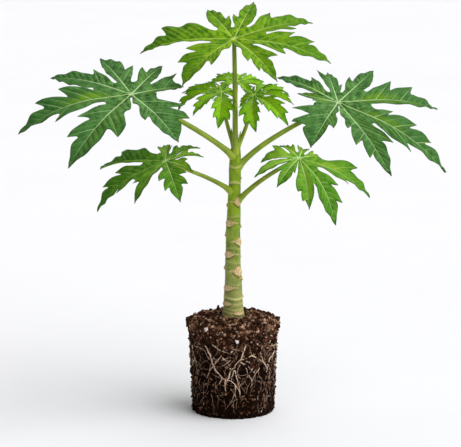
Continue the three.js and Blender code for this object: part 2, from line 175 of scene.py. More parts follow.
def mesh_piece(name: str, points: Array, faces: Array) -> bpy.types.Object:
    """Makes a mesh object from arrays.

    Args:
        name: The piece's name.
        points: The vertices in millimetres, one a row.
        faces: The vertex numbers of each face, one a row.

    Returns:
        The object, linked to the scene.
    """
    mesh = bpy.data.meshes.new(name)
    mesh.from_pydata((points * MM).tolist(), [], faces.tolist())
    piece = bpy.data.objects.new(name, mesh)
    bpy.context.scene.collection.objects.link(piece)
    return piece


def mark(piece: bpy.types.Object, name: str, values: Sequence[Array], domain: str = "POINT") -> None:
    """Stores two or three numbers at each point or face corner of a mesh, for its finish to read.

    Args:
        piece: The mesh object.
        name: What the finish calls the numbers.
        values: Two or three arrays, each with one number for each point or corner.
        domain: Whether the numbers belong to points or to corners.
    """
    columns = [*values, np.zeros_like(values[0])][:3]
    layer = piece.data.attributes.new(name, "FLOAT_VECTOR", domain)
    layer.data.foreach_set("vector", np.column_stack(columns).astype(np.float32).ravel())


def sweep(name: str, lines: Sequence[Strand], sides: int) -> bpy.types.Object:
    """Sweeps a round section along lines as one curve, and makes it a mesh.

    Args:
        name: The piece's name.
        lines: Each strand's points and its radius at each point, in millimetres.
        sides: The section's sides, an even number of at least 4.

    Returns:
        The mesh object.
    """
    select_only()
    bpy.ops.curve.primitive_nurbs_path_add()
    piece = bpy.context.object
    piece.name = name
    curve = piece.data
    curve.splines.clear()
    for points, radii in lines:
        spline = curve.splines.new("POLY")
        spline.points.add(len(points) - 1)
        spline.points.foreach_set("co", np.column_stack([points * MM, np.ones(len(points))]).ravel())
        spline.points.foreach_set("radius", np.asarray(radii, float))
    curve.bevel_depth = MM
    curve.bevel_resolution = sides // 2 - 2
    curve.use_fill_caps = True
    bpy.ops.object.convert(target="MESH")
    return bpy.context.object


# The inputs of a node that maps a range, and of one that mixes two colours, which are its inputs 6 and 7
RANGE = ("Value", "From Min", "From Max", "To Min", "To Max")
MIX = ("Factor", 6, 7)


def add_node(
    tree: bpy.types.NodeTree, kind: str, inputs: dict[str | int, Any] | None = None, **settings: Any
) -> bpy.types.Node:
    """Adds one shader node.

    Args:
        tree: The material's node tree.
        kind: The node's type, without the words that every shader node's type starts with.
        inputs: For each input a value, an output to link, or a node whose first live output is linked.
        settings: The node's own settings.

    Returns:
        The node.
    """
    node = tree.nodes.new(f"ShaderNode{kind}")
    for key, value in settings.items():
        setattr(node, key, value)
    for key, value in (inputs or {}).items():
        if isinstance(value, bpy.types.Node):
            value = next(output for output in value.outputs if output.enabled)
        if isinstance(value, bpy.types.NodeSocket):
            tree.links.new(value, node.inputs[key])
        else:
            node.inputs[key].default_value = value
    return node


@dataclass(frozen=True)
class Finish:
    """A surface's material, made once and shared by every piece that names it."""

    name: str

    def surface(self, tree: bpy.types.NodeTree, place: bpy.types.NodeSocket) -> dict[str, Any]:
        """Gives the values and links for the shader's inputs.

        Args:
            tree: The material's node tree.
            place: Where each point of the piece is, in metres.

        Returns:
            The shader's inputs.
        """
        raise NotImplementedError

    def material(self) -> bpy.types.Material:
        """Makes the material, or finds it if it is there already.

        Returns:
            The material.
        """
        made = bpy.data.materials.get(self.name)
        if made:
            return made
        made = bpy.data.materials.new(self.name)
        made.use_nodes = True
        tree = made.node_tree
        tree.nodes.clear()
        place = add_node(tree, "TexCoord").outputs["Object"]
        shader = add_node(tree, "BsdfPrincipled", self.surface(tree, place))
        add_node(tree, "OutputMaterial", {"Surface": shader})
        return made

    @staticmethod
    def marks(tree: bpy.types.NodeTree, name: str) -> Sequence[bpy.types.NodeSocket]:
        """Reads the numbers that mark stored on the piece."""
        stored = add_node(tree, "Attribute", attribute_name=name).outputs["Vector"]
        return add_node(tree, "SeparateXYZ", {"Vector": stored}).outputs


@dataclass(frozen=True)
class LeafFinish(Finish):
    """Leaf tissue under a thin waxy skin: light sunken veins over mottled green, and a soft gloss."""

    deep: str
    fresh: str
    vein: str
    edge: str
    # The colour of light painted as shining through the tissue beside the midribs
    glow_colour: str
    far: str
    rib_width: float = 1.8
    vein_strength: float = 0.78
    roughness: float = 0.46
    mottle_mm: float = 12.0
    net_mm: float = 3.4
    net_strength: float = 0.06
    wax_mm: float = 1.6
    far_mm: float = 130.0

    def surface(self, tree: bpy.types.NodeTree, place: bpy.types.NodeSocket) -> dict[str, Any]:
        """Draws midribs, side veins and the net between them from the blade's own marks, and paints the light
        that shines through the tissue beside the midribs.

        Args:
            tree: The material's node tree.
            place: Where each point of the piece is, in metres.

        Returns:
            The shader's inputs.
        """
        vein_count, off_midrib, vein_weight = self.marks(tree, "ribs")
        out_share, from_edge, painted_glow = self.marks(tree, "edge")
        along_share, from_hub, _ = self.marks(tree, "lobe")
        mottle = add_node(tree, "TexNoise", {
            "Vector": place, "Scale": 1 / (self.mottle_mm * MM), "Detail": 5.0, "Roughness": 0.6})
        # The net is drawn coarser than a real one, so that it shows
        net = add_node(tree, "TexVoronoi", {"Vector": place, "Scale": 1 / (self.net_mm * MM)},
                       feature="DISTANCE_TO_EDGE")
        wax = add_node(tree, "TexNoise", {"Vector": place, "Scale": 1 / (self.wax_mm * MM), "Detail": 3.0})
        # Each share, with what it reads, from and to which value, and what it turns these into
        shares = {}
        for name, *numbers in (
            ("width", along_share, 0.0, 1.0, self.rib_width, self.rib_width * 0.22),
            ("fading", along_share, 0.25, 0.9, 1.0, 0.4),
            ("outward", out_share, 0.3, 1.0, 1.0, 0.1),
            ("hub", from_hub, 2.5, 6.5, 1.0, 0.0),
            ("patchy", mottle, 0.36, 0.64, 0.0, 1.0),
            ("outlying", from_hub, 20.0, self.far_mm, 0.0, 0.7),
            ("netted", net, 0.02, 0.2, self.net_strength, 0.0),
            ("raised", net, 0.0, 0.3, 0.0, 0.6),
            ("rim", from_edge, 0.2, 1.3, 0.65, 0.0),
            ("rough", wax, 0.0, 1.0, self.roughness - 0.1, self.roughness + 0.14),
        ):
            shares[name] = add_node(tree, "MapRange", dict(zip(RANGE, numbers)))

        # The midrib narrows to the tip, and its light colour fades on the way
        across = add_node(tree, "Math", {0: off_midrib, 1: shares["width"]}, operation="DIVIDE")
        midrib = add_node(tree, "MapRange", dict(zip(RANGE, (across, 0.3, 1.0, 1.0, 0.0))),
                          interpolation_type="SMOOTHSTEP")
        midrib = add_node(tree, "Math", {0: midrib, 1: shares["fading"]}, operation="MULTIPLY")

        # Side veins lie at whole numbers of the vein count
        off_vein = vein_count
        for operation, amount in (("ADD", 0.5), ("FRACT", 0.0), ("SUBTRACT", 0.5), ("ABSOLUTE", 0.0)):
            off_vein = add_node(tree, "Math", {0: off_vein, 1: amount}, operation=operation)
        side = add_node(tree, "MapRange", dict(zip(RANGE, (off_vein, 0.02, 0.1, 1.0, 0.0))),
                        interpolation_type="SMOOTHSTEP")
        veins = side
        for operation, other in (
            ("MULTIPLY", vein_weight), ("MULTIPLY", shares["outward"]), ("MAXIMUM", midrib),
            ("MAXIMUM", shares["hub"]),
        ):
            veins = add_node(tree, "Math", {0: veins, 1: other}, operation=operation)
        drawn = add_node(tree, "Math", {0: veins, 1: self.vein_strength}, operation="MULTIPLY")

        # The glow colour is painted light, shining through the steep halves beside the midribs
        colour = linear(self.deep)
        for share, over in (
            (shares["patchy"], self.fresh), (shares["outlying"], self.far), (painted_glow, self.glow_colour),
            (shares["netted"], self.vein), (drawn, self.vein), (shares["rim"], self.edge),
        ):
            colour = add_node(tree, "Mix", dict(zip(MIX, (share, colour, linear(over)))), data_type="RGBA")

        # Veins are sunk, the net shows as fine relief, and the wax lies unevenly
        sunk = add_node(tree, "Math", {0: veins, 1: 0.7}, operation="MULTIPLY")
        height = add_node(tree, "Math", {0: shares["raised"], 1: sunk}, operation="SUBTRACT")
        height = add_node(tree, "Math", {0: height, 1: wax}, operation="ADD")
        relief = add_node(tree, "Bump", {"Strength": 0.35, "Distance": 0.35 * MM, "Height": height})
        return {"Base Color": colour, "Roughness": shares["rough"], "Normal": relief,
                "Specular IOR Level": 0.04}


@dataclass(frozen=True)
class UndersideFinish(Finish):
    """The matt underside of a leaf, paler than the top, with fine hairs that scatter the light."""

    tissue: str
    vein: str
    roughness: float = 0.7
    net_mm: float = 3.4
    patch_mm: float = 14.0

    def surface(self, tree: bpy.types.NodeTree, place: bpy.types.NodeSocket) -> dict[str, Any]:
        """Draws the raised net of veins on pale tissue.

        Args:
            tree: The material's node tree.
            place: Where each point of the piece is, in metres.

        Returns:
            The shader's inputs.
        """
        cells = add_node(tree, "TexVoronoi", {"Vector": place, "Scale": 1 / (self.net_mm * MM)},
                         feature="DISTANCE_TO_EDGE")
        patches = add_node(tree, "TexNoise", {
            "Vector": place, "Scale": 1 / (self.patch_mm * MM), "Detail": 4.0})
        net, pale, rough = (add_node(tree, "MapRange", dict(zip(RANGE, numbers))) for numbers in (
            (cells, 0.0, 0.18, 0.5, 0.0),
            (patches, 0.3, 0.7, 0.0, 0.3),
            (patches, 0.0, 1.0, self.roughness - 0.08, self.roughness + 0.1),
        ))
        share = add_node(tree, "Math", {0: net, 1: pale}, operation="ADD")
        colour = add_node(tree, "Mix", dict(zip(MIX, (share, linear(self.tissue), linear(self.vein)))),
                          data_type="RGBA")
        relief = add_node(tree, "Bump", {"Strength": 0.4, "Distance": 0.3 * MM, "Height": net})
        return {"Base Color": colour, "Roughness": rough, "Normal": relief, "Sheen Weight": 0.15}


@dataclass(frozen=True)
class StalkFinish(Finish):
    """A smooth green leaf stalk: waxy, faintly streaked along its length, and yellower at its foot, partly
    its own colour and partly a painted highlight.
    """

    # The foot's colour is partly its own yellow and partly a painted highlight where the stalk meets the
    # trunk
    foot: str
    shaft: str
    shade: str
    streak_mm: float = 1.2
    streak_stretch: float = 30.0
    patch_mm: float = 22.0
    foot_mm: float = 16.0

    def surface(self, tree: bpy.types.NodeTree, place: bpy.types.NodeSocket) -> dict[str, Any]:
        """Blends the foot's colour, partly a painted highlight, into the streaked shaft.

        Args:
            tree: The material's node tree.
            place: Where each point of the piece is, in metres.

        Returns:
            The shader's inputs.
        """
        from_skin, around, _ = self.marks(tree, "run")
        # The streaks read the way round the stalk, so they follow its bends
        strands = add_node(tree, "CombineXYZ", {"X": around, "Y": from_skin})
        scale = (1 / self.streak_mm, 1 / (self.streak_mm * self.streak_stretch), 1.0)
        stretched = add_node(tree, "Mapping", {"Vector": strands, "Scale": scale})
        streaks = add_node(tree, "TexNoise", {"Vector": stretched, "Scale": 1.0, "Detail": 3.0})
        patches = add_node(tree, "TexNoise", {
            "Vector": place, "Scale": 1 / (self.patch_mm * MM), "Detail": 3.0})
        mixed = add_node(tree, "Math", {0: streaks, 1: patches}, operation="ADD")
        lit = add_node(tree, "MapRange", {"Value": mixed, "From Min": 0.75, "From Max": 1.25})
        # The foot's yellow is partly a painted highlight
        foot_tint_and_highlight = add_node(tree, "MapRange", dict(zip(RANGE, (from_skin, 0.0, self.foot_mm, 0.8, 0.0))),
                          interpolation_type="SMOOTHSTEP")
        colour = linear(self.shade)
        for share, over in ((lit, self.shaft), (foot_tint_and_highlight, self.foot)):
            colour = add_node(tree, "Mix", dict(zip(MIX, (share, colour, linear(over)))), data_type="RGBA")
        relief = add_node(tree, "Bump", {"Strength": 0.3, "Distance": 0.25 * MM, "Height": streaks})
        rough = add_node(tree, "MapRange", {"Value": patches, "To Min": 0.36, "To Max": 0.5})
        return {"Base Color": colour, "Roughness": rough, "Normal": relief, "Specular IOR Level": 0.25}


@dataclass(frozen=True)
class BarkFinish(Finish):
    """Green bark on a young soft trunk: grey-olive low down, fresh green above, with tan leaf scars."""

    low: str
    high: str
    moss: str
    scar: str
    scar_light: str
    # Painted shade in creases and under scars, and the scars' own brown tips
    crease_shade_and_tips: str
    ring: str
    low_height: float = 200.0
    high_height: float = 375.0
    fibre_mm: float = 2.2
    patch_mm: float = 18.0
    cork_mm: float = 2.4
    pore_mm: float = 4.5

    def surface(self, tree: bpy.types.NodeTree, place: bpy.types.NodeSocket) -> dict[str, Any]:
        """Colours the bark by height, then lays scars, painted shade in creases, and rings from the trunk's
        marks over it.

        Args:
            tree: The material's node tree.
            place: Where each point of the piece is, in metres.

        Returns:
            The shader's inputs.
        """
        height = add_node(tree, "SeparateXYZ", {"Vector": place}).outputs["Z"]
        scar, crease_shade_and_tips, ring = self.marks(tree, "scar")
        upright = add_node(tree, "Mapping", {"Vector": place, "Scale": (1.0, 1.0, 0.12)})
        fibres, patches, corky = (
            add_node(tree, "TexNoise", {
                "Vector": at, "Scale": 1 / (size * MM), "Detail": detail, "Roughness": roughness})
            for at, size, detail, roughness in (
                (upright, self.fibre_mm, 5.0, 0.6), (place, self.patch_mm, 4.0, 0.55),
                (place, self.cork_mm, 4.0, 0.5))
        )
        pores = add_node(tree, "TexVoronoi", {"Vector": place, "Scale": 1 / (self.pore_mm * MM)})
        rise, mossy, streaky, dotted, worn, rough = (
            add_node(tree, "MapRange", dict(zip(RANGE, numbers))) for numbers in (
                (height, self.low_height * MM, self.high_height * MM, 0.0, 1.0),
                (patches, 0.42, 0.68, 0.0, 0.75),
                (fibres, 0.5, 0.75, 0.0, 0.3),
                (pores, 0.1, 0.2, 0.45, 0.0),
                (corky, 0.38, 0.62, 0.0, 1.0),
                (scar, 0.0, 1.0, 0.5, 0.85))
        )
        cork = add_node(tree, "Mix", dict(zip(MIX, (worn, linear(self.scar), linear(self.scar_light)))),
                        data_type="RGBA")
        colour = linear(self.low)
        for share, over in (
            (rise, linear(self.high)), (mossy, linear(self.moss)), (streaky, linear(self.ring)),
            (dotted, linear(self.ring)), (ring, linear(self.ring)), (scar, cork),
            # Painted shade in creases and under scars, and the scars' own brown tips
            (crease_shade_and_tips, linear(self.crease_shade_and_tips)),
        ):
            colour = add_node(tree, "Mix", dict(zip(MIX, (share, colour, over))), data_type="RGBA")
        height = add_node(tree, "Math", {0: fibres, 1: corky}, operation="ADD")
        relief = add_node(tree, "Bump", {"Strength": 0.5, "Distance": 0.5 * MM, "Height": height})
        return {"Base Color": colour, "Roughness": rough, "Normal": relief, "Specular IOR Level": 0.12}


@dataclass(frozen=True)
class SoilFinish(Finish):
    """Moist peat soil: dark and matt, with lighter fibres, and darker low down, partly as wetter soil and
    partly as painted shade.
    """

    dark: str
    brown: str
    grain_mm: float = 2.6
    clod_mm: float = 13.0
    # Between these heights the soil lightens upwards: partly wetter soil below, partly painted shade
    dark_below: float = 80.0
    light_above: float = 150.0

    def surface(self, tree: bpy.types.NodeTree, place: bpy.types.NodeSocket) -> dict[str, Any]:
        """Mixes dark and brown grains, darker towards the foot, partly as wetter soil and partly as painted
        shade.

        Args:
            tree: The material's node tree.
            place: Where each point of the piece is, in metres.

        Returns:
            The shader's inputs.
        """
        height = add_node(tree, "SeparateXYZ", {"Vector": place}).outputs["Z"]
        grains = add_node(tree, "TexNoise", {
            "Vector": place, "Scale": 1 / (self.grain_mm * MM), "Detail": 6.0, "Roughness": 0.7})
        clods = add_node(tree, "TexNoise", {
            "Vector": place, "Scale": 1 / (self.clod_mm * MM), "Detail": 3.0})
        # Darker towards the foot: partly wetter soil, partly painted shade
        damp_and_shade_tone = add_node(tree, "MapRange", dict(zip(RANGE, (
            height, self.dark_below * MM, self.light_above * MM, -0.2, 0.1))))
        lit = add_node(tree, "Math", {0: grains, 1: clods}, operation="ADD")
        lit = add_node(tree, "Math", {0: lit, 1: damp_and_shade_tone}, operation="ADD")
        share = add_node(tree, "MapRange", {"Value": lit, "From Min": 0.88, "From Max": 1.3})
        colour = add_node(tree, "Mix", dict(zip(MIX, (share, linear(self.dark), linear(self.brown)))),
                          data_type="RGBA")
        relief = add_node(tree, "Bump", {"Strength": 0.9, "Distance": 1.2 * MM, "Height": grains})
        rough = add_node(tree, "MapRange", {"Value": grains, "To Min": 0.75, "To Max": 1.0})
        return {"Base Color": colour, "Roughness": rough, "Normal": relief, "Specular IOR Level": 0.05}


@dataclass(frozen=True)
class SpeckledFinish(Finish):
    """A small natural thing with a speckled surface, such as a root strand or a grain of perlite."""

    main: str
    fleck: str
    fleck_mm: float
    roughness: float
    fleck_share: float = 0.5
    spread: float = 0.12

    def surface(self, tree: bpy.types.NodeTree, place: bpy.types.NodeSocket) -> dict[str, Any]:
        """Sets soft flecks of the second colour in the first.

        Args:
            tree: The material's node tree.
            place: Where each point of the piece is, in metres.

        Returns:
            The shader's inputs.
        """
        flecks = add_node(tree, "TexNoise", {
            "Vector": place, "Scale": 1 / (self.fleck_mm * MM), "Detail": 4.0, "Roughness": 0.65})
        share = add_node(tree, "MapRange", {
            "Value": flecks, "From Min": self.fleck_share - self.spread,
            "From Max": self.fleck_share + self.spread})
        colour = add_node(tree, "Mix", dict(zip(MIX, (share, linear(self.main), linear(self.fleck)))),
                          data_type="RGBA")
        relief = add_node(tree, "Bump", {"Strength": 0.5, "Distance": 0.3 * MM, "Height": flecks})
        rough = add_node(tree, "MapRange", {
            "Value": flecks, "To Min": self.roughness - 0.1, "To Max": self.roughness + 0.1})
        return {"Base Color": colour, "Roughness": rough, "Normal": relief}


class LeafAge(Enum):
    """How far on a leaf is, which sets its finish."""

    GROWN = "leaf_grown"
    LOW = "leaf_low"
    FRESH = "leaf_fresh"
    YOUNG = "leaf_young"


# A papaya leaf's upper side is waxy and darkens as the leaf ages
# Each glow colour is painted light shining through the tissue beside the midribs
UPPER_SIDES = {
    LeafAge.GROWN: LeafFinish("papaya_leaf_waxy_upper_grown", deep="#1c4a0c", fresh="#588a42",
                              vein="#c6e2a8", edge="#143009", glow_colour="#578200", far="#2a5f20"),
    LeafAge.LOW: LeafFinish("papaya_leaf_waxy_upper_low", deep="#2f6e00", fresh="#6c9e1c", vein="#c8e498",
                            edge="#163c04", glow_colour="#7da61c", far="#316f08", rib_width=1.4),
    LeafAge.FRESH: LeafFinish("papaya_leaf_waxy_upper_top", deep="#356c00", fresh="#84b00c", vein="#cfe47e",
                              edge="#1c4604", glow_colour="#86ac10", far="#397206", rib_width=1.4),
    LeafAge.YOUNG: LeafFinish("papaya_leaf_waxy_upper_young", deep="#2a7200", fresh="#74b400",
                              vein="#d6ec78", edge="#184c00", glow_colour="#90c410", far="#3c8600", rib_width=1.1,
                              mottle_mm=7.0, roughness=0.38),
}
# The underside is matt and paler, because it has hairs in place of wax
UNDERSIDES = {
    LeafAge.GROWN: UndersideFinish("papaya_leaf_matt_underside_grown", tissue="#7f9f68", vein="#a9bf88"),
    LeafAge.LOW: UndersideFinish("papaya_leaf_matt_underside_low", tissue="#8aa866", vein="#b2c686"),
    LeafAge.FRESH: UndersideFinish("papaya_leaf_matt_underside_top", tissue="#8fae5c", vein="#b8cc7c"),
    LeafAge.YOUNG: UndersideFinish("papaya_leaf_matt_underside_young", tissue="#98b850", vein="#c2d673"),
}
# Leaf stalks and veins below the blade are smooth, waxy and yellow-green
# Their foot colour is partly a painted highlight
STALK_SKIN = StalkFinish("papaya_stalk_smooth_green", foot="#9bb02e", shaft="#8ea331", shade="#6b801a")
# Bark on a trunk this young is still green, with corky scars where lower leaves fell
# Its crease colour is painted shade in grooves and under scars, and also the scars' own brown tips
BARK = BarkFinish("papaya_bark_green_with_leaf_scars", low="#8e9152", high="#88aa08", moss="#57702e",
                  scar="#b0925e", scar_light="#e6cc9e", crease_shade_and_tips="#4e4418", ring="#c6c678")
# Peat soil is matt and dark, darker towards the foot as wetter soil and painted shade, and its bigger crumbs
# have dried to brown
SOIL = SoilFinish("peat_soil_moist", dark="#120702", brown="#482c1c")
CRUMBS = (
    SoilFinish("peat_crumb_dark", dark="#140804", brown="#4a2d1e"),
    SoilFinish("peat_crumb_brown", dark="#3e2417", brown="#91694f"),
    SoilFinish("bark_crumb_dry", dark="#76563f", brown="#c9a890", grain_mm=1.8),
)
# Coir fibres in the soil are dry and straw-brown
FIBRE = SpeckledFinish("coir_fibre_dry", main="#7a5a40", fleck="#a98663", fleck_mm=4.0, roughness=0.85)
# Perlite is expanded volcanic glass: chalk-white, porous and dusted with peat
PERLITE = SpeckledFinish("perlite_dusty", main="#e4dad2", fleck="#b3a198", fleck_mm=2.0, roughness=0.9,
                         fleck_share=0.56)
# Fresh roots have a pale tan skin with soil caught on it
ROOT_SKIN = SpeckledFinish("root_skin_tan", main="#dcc1a8", fleck="#9c7b65", fleck_mm=5.0, roughness=0.65,
                           fleck_share=0.55)
# Hair roots are the same skin under more dust
HAIR_SKIN = SpeckledFinish("root_hair_dusty", main="#b8977e", fleck="#6c4d39", fleck_mm=4.0, roughness=0.75)
# The studio floor is seamless matt paper
PAPER = SpeckledFinish("studio_paper_white", main="#f0f0f3", fleck="#eeeef1", fleck_mm=900.0, roughness=0.9)


def hand_over(
    piece: bpy.types.Object, finishes: Sequence[Finish], nodes: Sequence[str] = (),
    smooth: float = 60.0,
) -> bpy.types.Object:
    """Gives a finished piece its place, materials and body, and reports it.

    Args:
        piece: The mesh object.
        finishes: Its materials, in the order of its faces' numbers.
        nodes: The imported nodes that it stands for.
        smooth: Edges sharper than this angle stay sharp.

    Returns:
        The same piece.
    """
    select_only(piece)
    bpy.ops.object.transform_apply(location=True, rotation=True, scale=True)
    bpy.ops.object.shade_smooth_by_angle(angle=math.radians(smooth))
    piece.data.name = piece.name
    piece.data.materials.clear()
    for finish in finishes:
        piece.data.materials.append(finish.material())
    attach(piece, BODY)
    if nodes:
        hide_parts(*nodes)
    LOG.info("%s: %d faces, finish %s", piece.name, len(piece.data.polygons), finishes[0].name)
    return piece


@dataclass(frozen=True)
class Lobe:
    """One lobe of a blade: where its midrib points, how long it is, how far it bends down, and its edges.

    Edges names the edge on the side of growing spread and then the other, wide says how much wider than usual
    each is, and glow how much light comes through each half, where its fold doesn't say so already. The cut
    is the share of two lobes' length that joins them, on the way to the next lobe.
    """

    spread: float
    length: float
    droop: float
    edges: str = "pp"
    wide: tuple[float, float] = (1.0, 1.0)
    cut: float = 0.27
    glow: tuple[float, float] = (0.0, 0.0)


@dataclass(frozen=True)
class StalkPlan:
    """How a stalk leaves the trunk and arrives under its blade, and how thick it is."""

    height: float
    heading: float
    slope: float
    reach: float
    arrive: float
    end: float
    base: float
    tip: float
    swell: float


@dataclass(frozen=True)
class LeafPlan:
    """One leaf: its hub, how its blade lies, its lobes and its stalk."""

    name: str
    hub: tuple[float, float, float]
    heading: float
    rise: float
    roll: float
    age: LeafAge
    lobes: tuple[Lobe, ...]
    stalk: StalkPlan


def lobes(*rows: tuple) -> tuple[Lobe, ...]:
    """Makes a blade's lobes from rows of spread, length, droop and edges."""
    return tuple(Lobe(*row) for row in rows)


LEAVES = (
    LeafPlan("upper_left", (-168, -70, 554), 110, 28, -4, LeafAge.GROWN,
             lobes((132, 192, 36, "nt"), (92, 203, 42, "ot", (1, 0.95), 0.36, (0.2, 1)),
                   (48, 153, 23, "wi", (1.25, 1)),
                   (9, 128, 14, "wi", (0.9, 1.1)), (-43, 115, 12, "ow", (0.85, 1), 0.42),
                   (-81, 97, 10, "bp", (1.25, 1), 0.37),
                   (-157, 128, 26, "ti", (1.6, 0.85))),
             StalkPlan(437, 215, 42, 70, 30, 44, 5.0, 3.4, 1.6)),
    LeafPlan("upper_right", (180, 70, 523), 80, 30, 15, LeafAge.GROWN,
             lobes((164, 115, 36, "nt", (0.8, 2.0), 0.54), (91, 72, 0, "pp", (1.3, 1.3)),
                   (64, 127, 24, "wi", (1.1, 0.9), 0.27, (0.9, 0.5)), (19, 84, 4, "bi", (0.8, 1.2)),
                   (-24, 125, 2, "iw", (0.85, 1.3), 0.38), (-63, 203, 27, "tp", (1.15, 1.3), 0.27, (1, 0.9)),
                   (-105, 225, 37, "so", (0.8, 1.2), 0.38, (0.9, 0)), (-140, 176, 21, "os", (1.6, 0.8))),
             StalkPlan(416, 22, 49, 74, 28, 40, 5.0, 3.4, 1.6)),
    LeafPlan("top", (1, 0, 639), 77, 29, 2, LeafAge.FRESH,
             lobes((145, 129, 39, "nt", (0.8, 1.25)), (94, 169, 30, "pm", (0.8, 1.15)),
                   (35, 116, 11, "wi", (0.75, 1)), (-5, 122, 8, "iw"), (-52, 152, 24, "io", (1, 1.2), 0.34),
                   (-92, 171, 33, "ti", (1.1, 0.9)), (-133, 124, 31, "ot", (1.5, 0.65))),
             StalkPlan(440, 268, 56, 40, 88, 70, 5.0, 3.5, 0.6)),
    LeafPlan("lower_left", (-113, -50, 440), 76, 23, -9, LeafAge.LOW,
             lobes((157, 102, 38, "po", (1.2, 1.6), 0.54), (125, 146, 43, "ot", (1.8, 0.9)),
                   (75, 144, 25, "pm", (1.5, 1)), (12, 76, 22), (-32, 80, 38, "ip"),
                   (-62, 67, 41, "pp", (1.3, 2)), (-116, 60, 31), (-155, 107, 43, "tt", (1.15, 0.8))),
             StalkPlan(376, 216, 40, 52, 30, 26, 4.2, 2.8, 1.8)),
    LeafPlan("lower_right", (110, -30, 442), 78, 20, 15, LeafAge.LOW,
             lobes((166, 86, 33, "io", (1.4, 1.5)), (136, 93, 37), (107, 67, 42, "pp", (1.4, 1.4)),
                   (42, 60, 34), (-2, 60, 44), (-46, 56, 40, "pp", (1, 1), 0.4),
                   (-95, 139, 37, "oo", (1, 1.1), 0.27, (0.9, 0.2)), (-139, 150, 51, "tw", (0.85, 1.4), 0.55),
                   (-159, 122, 34, "pf", (1, 1.15))),
             StalkPlan(355, -14, 54, 54, 30, 26, 4.6, 3.1, 1.4)),
    LeafPlan("young_left", (-20, 25, 547), 139, 19, -8, LeafAge.YOUNG,
             lobes((133, 89, 61), (93, 78, 60), (64, 92, 74), (36, 70, 40), (0, 60, 50), (-42, 52, 50),
                   (-92, 36, 45), (-150, 33, 60)),
             StalkPlan(452, 160, 66, 40, 84, 22, 3.6, 2.7, 0.6)),
    LeafPlan("young_right", (34, 26, 541), 49, 25, -1, LeafAge.YOUNG,
             lobes((160, 34, 84), (104, 28, 50), (50, 50, 50), (6, 62, 62), (-38, 66, 60), (-73, 76, 56),
                   (-109, 104, 58), (-145, 90, 56)),
             StalkPlan(450, 20, 60, 40, 84, 22, 3.6, 2.7, 0.6)),
    LeafPlan("young_back", (6, 105, 556), 82, 14, 6, LeafAge.YOUNG,
             lobes((140, 46, 50), (94, 54, 42), (46, 56, 30), (0, 60, 34), (-46, 58, 35), (-90, 66, 46),
                   (-138, 50, 50)),
             StalkPlan(446, 92, 52, 60, 40, 30, 2.9, 2.0, 0.6)),
)


@dataclass(frozen=True)
class Edge:
    """Half a lobe's edge: the room that it takes of a gap, how steeply its half stands up, and its outline.

    The outline is [along the midrib, out from it], in shares of the lobe's length.
    """

    room: float
    fold: float
    outline: tuple[tuple[float, float], ...]


EDGES = {
    # Twin side lobes, and the same grown together, three, and two that stand far out
    "t": Edge(1.15, 15, ((0.3, 0.09), (0.36, 0.155), (0.45, 0.2), (0.56, 0.21), (0.5, 0.085), (0.56, 0.13),
                         (0.65, 0.165), (0.77, 0.17), (0.7, 0.075), (0.78, 0.1), (0.87, 0.065),
                         (0.95, 0.02))),
    "m": Edge(1.15, 12, ((0.3, 0.1), (0.36, 0.155), (0.46, 0.18), (0.56, 0.165), (0.61, 0.16), (0.69, 0.19),
                         (0.79, 0.195), (0.7, 0.085), (0.79, 0.1), (0.88, 0.06), (0.95, 0.02))),
    "s": Edge(1.15, 15, ((0.27, 0.09), (0.31, 0.13), (0.39, 0.15), (0.36, 0.075), (0.42, 0.13), (0.5, 0.17),
                         (0.6, 0.18), (0.55, 0.07), (0.61, 0.11), (0.68, 0.13), (0.77, 0.12), (0.71, 0.05),
                         (0.8, 0.08), (0.89, 0.05), (0.96, 0.015))),
    "f": Edge(1.1, 18, ((0.34, 0.1), (0.45, 0.14), (0.57, 0.2), (0.66, 0.215), (0.76, 0.2), (0.69, 0.1),
                        (0.76, 0.13), (0.83, 0.14), (0.89, 0.12), (0.85, 0.07), (0.94, 0.03))),
    # One side lobe on the inner half, the same with a narrow tip, one further out, and a big one
    "i": Edge(1.15, 15, ((0.3, 0.09), (0.36, 0.15), (0.45, 0.2), (0.56, 0.21), (0.5, 0.095), (0.6, 0.13),
                         (0.72, 0.135), (0.84, 0.09), (0.94, 0.03))),
    "n": Edge(1.0, 20, ((0.32, 0.1), (0.38, 0.165), (0.47, 0.2), (0.58, 0.195), (0.52, 0.085), (0.63, 0.095),
                        (0.75, 0.09), (0.87, 0.05), (0.95, 0.015))),
    "o": Edge(1.0, 18, ((0.33, 0.09), (0.42, 0.145), (0.53, 0.19), (0.68, 0.205), (0.6, 0.08), (0.69, 0.095),
                        (0.82, 0.07), (0.93, 0.025))),
    "b": Edge(1.1, 12, ((0.38, 0.12), (0.56, 0.2), (0.78, 0.27), (1.02, 0.33), (0.84, 0.19), (0.9, 0.09))),
    # Plain, narrow or wide
    "p": Edge(0.72, 28, ((0.36, 0.1), (0.52, 0.13), (0.66, 0.145), (0.8, 0.11), (0.93, 0.04))),
    "w": Edge(0.9, 13, ((0.33, 0.12), (0.42, 0.165), (0.55, 0.18), (0.68, 0.16), (0.8, 0.12), (0.92, 0.05))),
}
PLAIN = EDGES["p"]
# Short lobes have one small side lobe, young ones two, and beside the notch there is a small rounded one
SHORT_LOBE = 80.0
SHORT_EDGE = Edge(PLAIN.room, PLAIN.fold, (
    (0.34, 0.09), (0.44, 0.15), (0.52, 0.19), (0.63, 0.195), (0.57, 0.095), (0.7, 0.115), (0.84, 0.066)))
YOUNG_EDGE = Edge(PLAIN.room, PLAIN.fold, (
    (0.28, 0.1), (0.36, 0.17), (0.5, 0.22), (0.44, 0.12), (0.54, 0.19), (0.68, 0.22), (0.62, 0.11),
    (0.74, 0.16), (0.83, 0.15), (0.78, 0.08), (0.9, 0.055)))
NOTCH_EDGE = ((0.09, 0.06), (0.14, 0.115), (0.2, 0.13), (0.235, 0.085))
